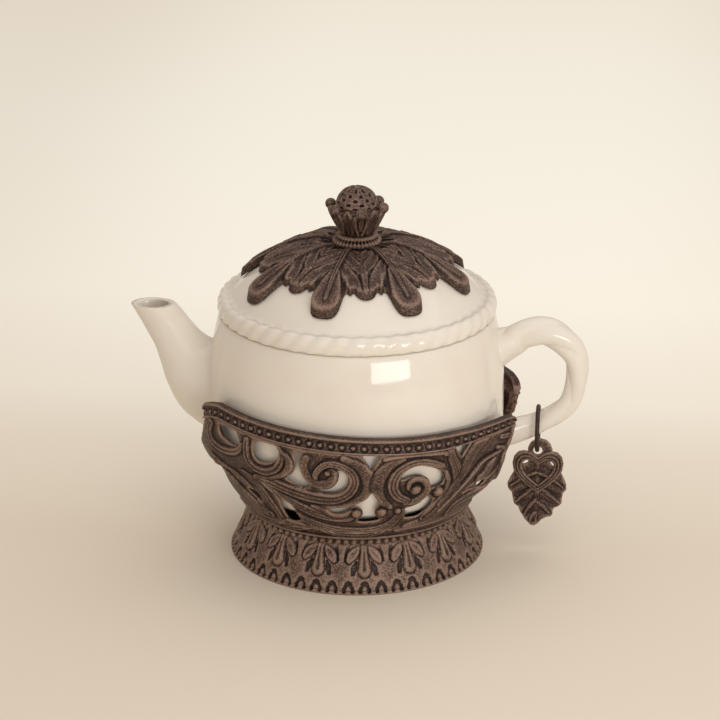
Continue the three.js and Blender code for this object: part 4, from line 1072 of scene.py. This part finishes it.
def makeCollar():
    low, high, r = sizes["collarBottom"], sizes["collarTop"], sizes["waistRadius"]
    profile = [(48, low), (r - 1, low), (r - 0.6, low + 0.4), (r + 0.6, low + 0.9), (r + 1.1, low + 1.6),
               (r + 1.3, low + 3.5), (r + 2.0, low + 3.9), (r + 2.1, low + 4.3), (r + 1.8, high), (48, high)]
    bm = bmesh.new()
    turned(bm, dense(profile), 260)
    out, up = collarLook["beadsAt"]
    for i in range(collarLook["beads"]):
        b = 2 * math.pi * i / collarLook["beads"]
        at = Matrix.Translation(aroundAxis(b, out, low + up))
        bmesh.ops.create_icosphere(bm, subdivisions=2, radius=collarLook["bead"] * mm, matrix=at)
    addCasting("waistCollar", fuse(bm, collarLook["voxel"]), "stand", "waist_collar")


baseLook = dict(columns=960, rows=26, inset=1.9, ground=0.1, trench=0.4, out=1.0)


def makeBase():
    look, columns = baseLook, baseLook["columns"]
    low, high, ledge = sizes["baseBottom"], sizes["baseTop"], sizes["ledgeTop"]
    wall = [(float(basketRadius(z)) - look["inset"], float(z)) for z in np.linspace(low, high, look["rows"])]
    face = dense(wall, 0.45, False)
    hidden = dense([(64.4, high), (62.5, ledge), (43, ledge), (43, low)], 3, False)
    bearing, v = facePoints(face, columns)
    bearing = np.radians(bearing)
    u = np.arctan2(np.sin(bearing), np.abs(np.cos(bearing))) * flatRadius
    t = carve(u, v, onWall(strokes + baseStrokes), look["ground"], look["trench"]) + look["out"]
    bm = bmesh.new()
    turned(bm, face + hidden, columns, columnHeights(t, columns, hidden), level=True)
    addCasting("basketBase", meshFrom(bm), "stand", "basket_base", 14)


makePanel()
print("panels made")
makeRail()
makeFoot()
makeCollar()
makeBase()
print("stand made")

# Leaf cap and finial

capLook = dict(
    leaves=8, turn=33.5, longer=((-56.5, 0.03), (-101.5, 0.05), (123.5, 0.035)), columns=760, rows=104,
    hole=2.9, under=0.4, ground=3.3, wallFlare=0.9, soft=0.5, shrink=0.968, tip=0.9, centreDrop=1.8,
)
# Outline of half a leaf: [degrees from its middle line, distance from the axis]
capOutline = [
    (0, 65.3), (2.5, 65.2), (4.8, 64.6), (6.6, 63.0), (7.7, 60.4), (8.4, 57.0), (9.0, 53.6), (9.9, 51.2),
    (11.2, 50.6), (12.4, 51.9), (13.6, 52.0), (14.5, 50.8), (15.4, 50.4), (16.4, 51.6), (17.6, 53.2),
    (19.0, 54.0), (20.6, 54.6), (22.5, 54.9),
]
# Strokes of [across, out from the axis, half width] on a large leaf, with their looks
leafMotif = [
    ([(0, 12, 3.0), (0, 22, 5.0), (0, 34, 7.0), (0, 46, 8.2), (0, 57, 8.0)],
     dict(height=3.9, crown=2.0, keep=0.0)),
    ([(1.0, 16, 1.6), (4.0, 20.5, 2.7), (7.6, 24.0, 2.9), (9.6, 26.0, 1.6)], dict(height=4.7, dish=0.8)),
    ([(-1.0, 15, 1.6), (-3.8, 19.5, 2.7), (-7.2, 22.8, 2.9), (-9.2, 24.6, 1.6)],
     dict(height=4.7, dish=0.8)),
    ([(1.2, 24, 1.8), (5.4, 29.5, 3.3), (10.2, 34.0, 3.7), (13.0, 36.6, 2.2)], dict(height=4.8, dish=0.9)),
    ([(-1.2, 23, 1.8), (-5.2, 28.2, 3.3), (-9.8, 32.6, 3.7), (-12.6, 35.0, 2.2)],
     dict(height=4.8, dish=0.9)),
    ([(1.2, 33, 1.8), (6.2, 39.5, 3.6), (11.2, 45.0, 4.3), (14.8, 49.6, 3.6), (16.0, 52.0, 2.2)],
     dict(height=5.0, dish=1.0)),
    ([(-1.2, 32, 1.8), (-6.0, 38.2, 3.6), (-11.0, 43.6, 4.3), (-14.6, 48.4, 3.6), (-15.8, 51.0, 2.2)],
     dict(height=5.0, dish=1.0)),
    ([(0, 41, 3.2), (0, 48, 6.2), (0, 56, 8.4), (0, 61, 8.4)],
     dict(height=5.4, dish=0.7, crown=4.5, keep=0.0)),
    ([(0, 11, 2.0), (0.6, 26, 1.9), (0.3, 42, 1.6), (0, 58, 1.2)],
     dict(height=5.9, ridges=2, groove=1.0, crown=1.4, keep=0.9)),
]
# The small leaf between two large ones
smallLeafMotif = (
    [([(0, 24, 1.6), (0, 34, 5.6), (0, 44, 7.0), (0, 51.5, 6.4)], dict(height=3.9, crown=1.8, keep=0.0))]
    + pair([(3.0, 17, 1.0), (3.2, 22, 2.4), (2.6, 27, 1.2)], dict(height=4.7, dish=0.9))
    + pair([(2.6, 36, 1.2), (5.6, 40.5, 2.8), (7.8, 45.5, 2.4)], dict(height=4.6, dish=0.9))
    + [([(0, 51.5, 2.4), (0, 44, 2.5), (0, 38, 2.7), (0, 34.6, 2.0)],
        dict(height=5.2, ridges=2, groove=0.4, crown=1.6))]
    + pair([(0.4, 36.4, 1.5), (3.4, 33.0, 1.5), (6.4, 30.2, 1.0)], dict(height=5.4, crown=1.4))
)


def capReach(degrees):
    away = np.abs(folded(degrees - capLook["turn"], 360 / capLook["leaves"]))
    return capLook["shrink"] * onCurve(away, capOutline)


# The same strokes, turned round the axis
def turnedBy(motif, degrees):
    s, c = math.sin(math.radians(degrees)), math.cos(math.radians(degrees))
    return [([(x * c + y * s, y * c - x * s, half) for x, y, half in points], look) for points, look in motif]


def makeLeafCap():
    look, columns, rows = capLook, capLook["columns"], capLook["rows"]
    degrees = np.repeat(np.arange(columns) / columns * 360, rows)
    share = np.tile(np.linspace(0, 1, rows), columns)
    r = look["hole"] + (capReach(degrees) - look["hole"]) * share
    sector = 360 / look["leaves"]
    away = np.radians(folded(degrees - look["turn"], sector))
    x, y = r * np.sin(away), r * np.cos(away)
    motif = turnedBy(smallLeafMotif, sector / 2) + turnedBy(smallLeafMotif, -sector / 2) + leafMotif
    t = carve(x, y, motif, look["ground"], 0.6, 1.0)
    t = np.where(r < 15, look["ground"] + (t - look["ground"]) * np.clip((r - 9) / 6, 0, 1), t)
    t += look["tip"] * np.clip((r - 50) / 9, 0, 1) - look["centreDrop"] * np.clip((21 - r) / 6, 0, 1)
    wholeOutline = [(-a, out) for a, out in capOutline[::-1]] + capOutline[1:]
    size = look["shrink"]
    rim = [(math.sin(math.radians(a)) * out * size, math.cos(math.radians(a)) * out * size, 1)
           for a, out in wholeOutline]
    outer = np.nonzero(r > 42)[0]
    distance = np.full(r.shape, 9.0)
    distance[outer] = nearestOn(x[outer], y[outer], spline(rim, 0.5))[0]
    soft = np.clip(1 - distance / look["soft"], 0, 1)
    t -= look["soft"] * (1 - np.sqrt(1 - soft**2))
    longer = sum(more * np.exp(-(folded(degrees - at, 360) / 14) ** 2) for at, more in look["longer"])
    r = r * (1 + longer * share**2)
    tops = np.stack([r, domeHeight(r) + t], 1).reshape(columns, rows, 2)
    rings = []
    for i, column in enumerate(tops):
        edge, high = column[-1]
        low = float(domeHeight(edge)) + look["under"]
        wall = [(edge + look["wallFlare"] * k, high * (1 - k) + k * low) for k in (0.25, 0.5, 0.75, 1.0)]
        under = [(out, float(domeHeight(out)) + look["under"])
                 for out in np.linspace(edge, look["hole"], 6)[1:]]
        rings.append(aroundAxis(2 * math.pi * i / columns, *np.vstack([column, wall, under]).T))
    bm = bmesh.new()
    skin(bm, rings, loop=True)
    mesh = meshFrom(bm)
    # Painted shade: the leaves' walls, which look sideways, are darkened, and faces that look up are lifted a
    # little
    addCasting("leafCap", mesh, "lid", "leaf_cap", 24, 0.8,
               lambda up: 1.1 * np.clip(1.3 - up / 0.5, 0, 1) - 0.1)
    print("cap faces", len(mesh.polygons))


finialLook = dict(
    collarBottom=180.2, collarRibs=36, cupBottom=186.0, cupHole=2.7, curl=3.0, curlOut=15.4,
    curlHigh=(14.8, 15.4), voxel=0.32, budBottom=196.6, budTop=211.8, budRows=7, budHoles=9,
)
# Each outline is [radius, height above the piece's bottom]
collarOutline = [
    (2.7, 0), (12.6, 0), (13.2, 0.7), (13.2, 1.9), (12.4, 2.6), (10.3, 2.9), (10.2, 3.3), (11.0, 3.6),
    (11.2, 4.4), (10.9, 5.2), (9.4, 5.5), (2.7, 5.5),
]
cupOutline = [(8.0, 0), (8.7, 1.4), (10.0, 3.8), (11.8, 7.2), (13.4, 10.4), (14.4, 12.8), (14.9, 14.6)]
cupInside = [(12.4, 14.8), (11.6, 13.2), (10.4, 11.2), (8.2, 10.3)]
budOutline = [
    (0.01, 0), (7.2, 0), (11.6, 3.4), (11.8, 5.2), (11.0, 7.6), (9.9, 10.2), (8.0, 12.6), (5.6, 14.2),
    (2.8, 15.0), (0.01, 15.2),
]
# One edge of a sepal as [away from its middle, up, half width]
sepalEdge = [(0.8, 0.8, 0.9), (2.6, 6, 1.2), (3.0, 11, 1.3), (1.4, 14.6, 1.4)]
cupRadius = 12  # radius at which a bearing and a length round the cup match


def makeFinialCollar():
    bottom = finialLook["collarBottom"]

    def ribs(bearing, r, z):
        high = 0.42 * math.cos(finialLook["collarRibs"] * bearing)
        return np.where((r > 10.6) & (z > bottom + 0.3), high, 0)

    bm = bmesh.new()
    turned(bm, dense([(r, bottom + z) for r, z in collarOutline], 0.45), 216, ribs)
    addCasting("finialCollar", meshFrom(bm), "lid", "finial_collar", 12, 0.3)


# Places points given round the cup, up and outwards on it
def onCup(u, v, t):
    r = np.interp(v, [z for _, z in cupOutline], [r for r, _ in cupOutline]) + t
    return aroundAxis(u / cupRadius, r, finialLook["cupBottom"] + v - 0.3 * t)


def makeFinialCup():
    look, base = finialLook, finialLook["cupBottom"]
    outline = [(r, base + z) for r, z in cupOutline + cupInside]
    bm = bmesh.new()
    turned(bm, dense([(look["cupHole"], base)] + outline + [(look["cupHole"], base + 10.3)]), 96)
    for i in range(6):
        u, v = (cupRadius * math.radians(first + 60 * i) for first in (15, 45))
        sepal = [(v, 0.4, 2.2), (v, 4.5, 3.4), (v, 9.6, 4.3), (v, 13.2, 2.8), (v, 15.8, 0.7)]
        band(bm, onCup, sepal, 1.1, ridges=2)
        for side in (-1, 1):
            band(bm, onCup, [(u + side * across, up, half) for across, up, half in sepalEdge], 1.7)
        band(bm, onCup, [(u, 3.6, 0.9), (u, 8.4, 1.5), (u, 14, 1.9)], 1.3)
        at = Matrix.Translation(aroundAxis(u / cupRadius, look["curlOut"], base + look["curlHigh"][i % 2]))
        turn = at @ Matrix.Rotation(u / cupRadius, 4, "Z") @ Matrix.Diagonal((1.15, 1, 1, 1))
        bmesh.ops.create_icosphere(bm, subdivisions=3, radius=look["curl"] * mm, matrix=turn)
    addCasting("finialCup", fuse(bm, look["voxel"]), "lid", "finial_cup")


def makeFinialBud():
    low, top, rows = finialLook["budBottom"], finialLook["budTop"], finialLook["budRows"]
    shell = resample([(r, low + z, 0) for r, z in budOutline], 110)

    def lattice(bearing, r, z):
        share = (z - low) / (top - low)
        turn = finialLook["budHoles"] * bearing + math.pi * (np.floor(share * rows) % 2)
        hole = np.clip(np.cos(turn) * np.cos((share * rows % 1 - 0.5) * math.pi) - 0.25, 0, 1)
        return np.where((share > 0.35) & (share < 0.98) & (r > 1.5), 0.35 - 1.3 * hole / 0.75, 0)

    bm = bmesh.new()
    turned(bm, [(max(0.01, r), z) for r, z, _ in shell], 200, lattice)
    addCasting("finialBud", meshFrom(bm), "lid", "finial_bud", 14, 0.3)


makeLeafCap()
makeFinialCollar()
makeFinialCup()
makeFinialBud()
print("cap and finial made")

# Charm

charmAt = dict(x=101.5, top=61.83, ringCentre=74.03, ringRadius=12.2, wire=1.25)
charmLook = dict(step=0.3, leafBack=-1.4, heartBack=1.7, heartFront=2.6, heartHigh=1.4, heartAcross=0.6)


# Places points on the charm: u is across, v up from the ring's wire, t towards the front
def onCharm(u, v, t):
    return np.stack([charmAt["x"] + u, -t, charmAt["top"] + v], 1) * mm


# [across, up from the wire], up the leaf's right side and down its left
leafOutline = [
    (-0.9, -47), (1.4, -45.6), (3.4, -43.2), (5.8, -41.6), (8.6, -41.2), (9.4, -39.6), (9.4, -37.2),
    (10.4, -35.8), (12.6, -35.0), (14.3, -32.8), (14.5, -29.6), (15.0, -26.6), (16.8, -24.6),
    (16.6, -21.6), (15.6, -18.8), (14.0, -15.4), (11.0, -10.4), (8.4, -6.0), (8.5, -0.6), (7.2, 2.6),
    (5.0, 4.8), (1.8, 5.6), (-1.4, 5.0), (-3.8, 3.2), (-5.2, 0.2), (-5.6, -5.0), (-9.6, -9.6),
    (-12.8, -14.4), (-15.0, -18.4), (-16.4, -21.8), (-16.0, -24.8), (-13.9, -26.8), (-13.3, -30.4),
    (-12.2, -34.4), (-9.9, -36.0), (-8.8, -39.2), (-5.6, -44.2), (-3.0, -46.8),
]
leafWindows = [
    [(-8.2, -9.8), (-8.0, -8.0), (-6.4, -6.8), (-4.8, -7.4), (-5.2, -9.0), (-6.8, -9.8)],
    [(6.8, -7.8), (8.6, -7.9), (9.6, -9.4), (9.3, -11.0), (8.2, -10.0)],
]
leafEye = dict(across=0.3, up=-1.45, radius=2.6)
# Side veins as [across, up] at the middle vein and at the leaf's edge
leafVeins = [
    ((0.8, -14.5), (14.6, -23.0)), ((0.8, -23.5), (12.6, -32.2)), ((0.4, -32.5), (7.4, -39.0)),
    ((-0.4, -14.5), (-14.6, -23.0)), ((-0.6, -23.0), (-11.4, -32.6)), ((-0.6, -31.0), (-6.8, -40.6)),
    ((-0.8, -38.6), (-3.4, -44.6)),
]
# The right half of the heart and of its hole, as [across, up from the wire]
heartHalf = [
    (0, -4.8), (1.6, -3.2), (4.0, -1.5), (7.4, -0.6), (10.8, -1.2), (13.4, -4.0), (14.3, -8.0),
    (13.6, -12.4), (10.8, -16.8), (6.6, -20.8), (2.4, -24.4), (0, -26.4),
]
heartHole = [
    (0, -9.0), (1.6, -7.6), (4.2, -6.2), (6.8, -6.2), (8.6, -7.8), (9.0, -10.2), (8.0, -13.0),
    (5.4, -16.4), (2.4, -19.2), (0, -21.0),
]


def bothSides(half):
    return list(half) + [(-x, y) for x, y in half[-2:0:-1]]


def makeCharmRing():
    angle = np.linspace(0, 2 * math.pi, 16, endpoint=False)
    x = charmAt["x"] + charmAt["wire"] * np.sin(angle)
    r = charmAt["ringRadius"] + charmAt["wire"] * np.cos(angle)
    bm = bmesh.new()
    skin(bm, [np.stack([x, r * math.sin(a), charmAt["ringCentre"] + r * math.cos(a)], 1) * mm
              for a in np.linspace(0, 2 * math.pi, 96, endpoint=False)], loop=True)
    addPiece("charmRing", meshFrom(bm), darkWire, "hanging_ring", "charm_ring")


def makeCharmLeaf():
    turn = np.linspace(0, 2 * math.pi, 24, endpoint=False)
    x, y, radius = leafEye["across"], leafEye["up"], leafEye["radius"]
    eye = [(x + radius * math.sin(a), y + radius * math.cos(a)) for a in turn]
    veins = [([(0.4, -8, 1.2), (0.2, -28, 1.4), (-0.4, -45, 0.9)], dict(height=0.8, base=0.2, trench=0.2))]
    for (x, low), (out, high) in leafVeins:
        veins.append(([(x, low, 1.2), ((x + out) / 2, (low + high) / 2 + 0.8, 1.3), (out, high, 0.8)],
                      dict(height=1.35, base=0.2, trench=0.25, crown=1.4)))

    def edge(u, v):
        return np.min([loopDistance(u, v, leafOutline)]
                      + [-loopDistance(u, v, hole) for hole in (eye, *leafWindows)], axis=0)

    def height(u, v, inner):
        t = carve(u, v, veins, 0.45, 0.4, 0.8)
        t += 0.35 * np.cos(2 * math.pi * (v + 0.45 * np.abs(u)) / 6.6) * (v < -14)
        return np.clip(t, 0.1, 1.4) - 0.35 * np.clip(1 - inner / 0.6, 0, 1) ** 2

    mesh = reliefSheet(((-18.5, 18.5), (-48, 6.5)), charmLook["step"], edge, height, onCharm,
                       lambda inner: charmLook["leafBack"] + 0 * inner)
    addCasting("charmLeaf", mesh, "charm", "charm_leaf", 16)


def makeCharmHeart():
    heart, hole = ([(x + charmLook["heartAcross"], y) for x, y in bothSides(half)]
                   for half in (heartHalf, heartHole))

    def edge(u, v):
        return np.minimum(loopDistance(u, v, heart), -loopDistance(u, v, hole))

    def height(u, v, inner):
        across = np.clip(inner / 2.6, 0, 1)
        outer, inward = loopDistance(u, v, heart), -loopDistance(u, v, hole)
        share = outer / np.maximum(outer + inward, 0.1)
        groove = (0.5 + 0.5 * np.cos(2 * math.pi * share * 3)) * (across > 0.15)
        return charmLook["heartFront"] + charmLook["heartHigh"] * across**0.6 - 0.7 * groove

    mesh = reliefSheet(((-15.5, 15.5), (-26.5, 2)), charmLook["step"], edge, height, onCharm,
                       lambda inner: charmLook["heartBack"] + 0 * inner)
    addCasting("charmHeart", mesh, "charm", "charm_heart", 16)


makeCharmRing()
makeCharmLeaf()
makeCharmHeart()
print("charm made")

# Hidden fixings keep their CAD shape

rubberParts = ["seat_pad", "lid_gasket"]
steelParts = ["stand_screw_1", "stand_screw_2", "stand_screw_3", "finial_stud", "lid_washer", "lid_nut"]
for name in rubberParts + steelParts:
    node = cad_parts[name]
    node.data.materials.clear()
    node.data.materials.append(softRubber if name in rubberParts else zincSteel)
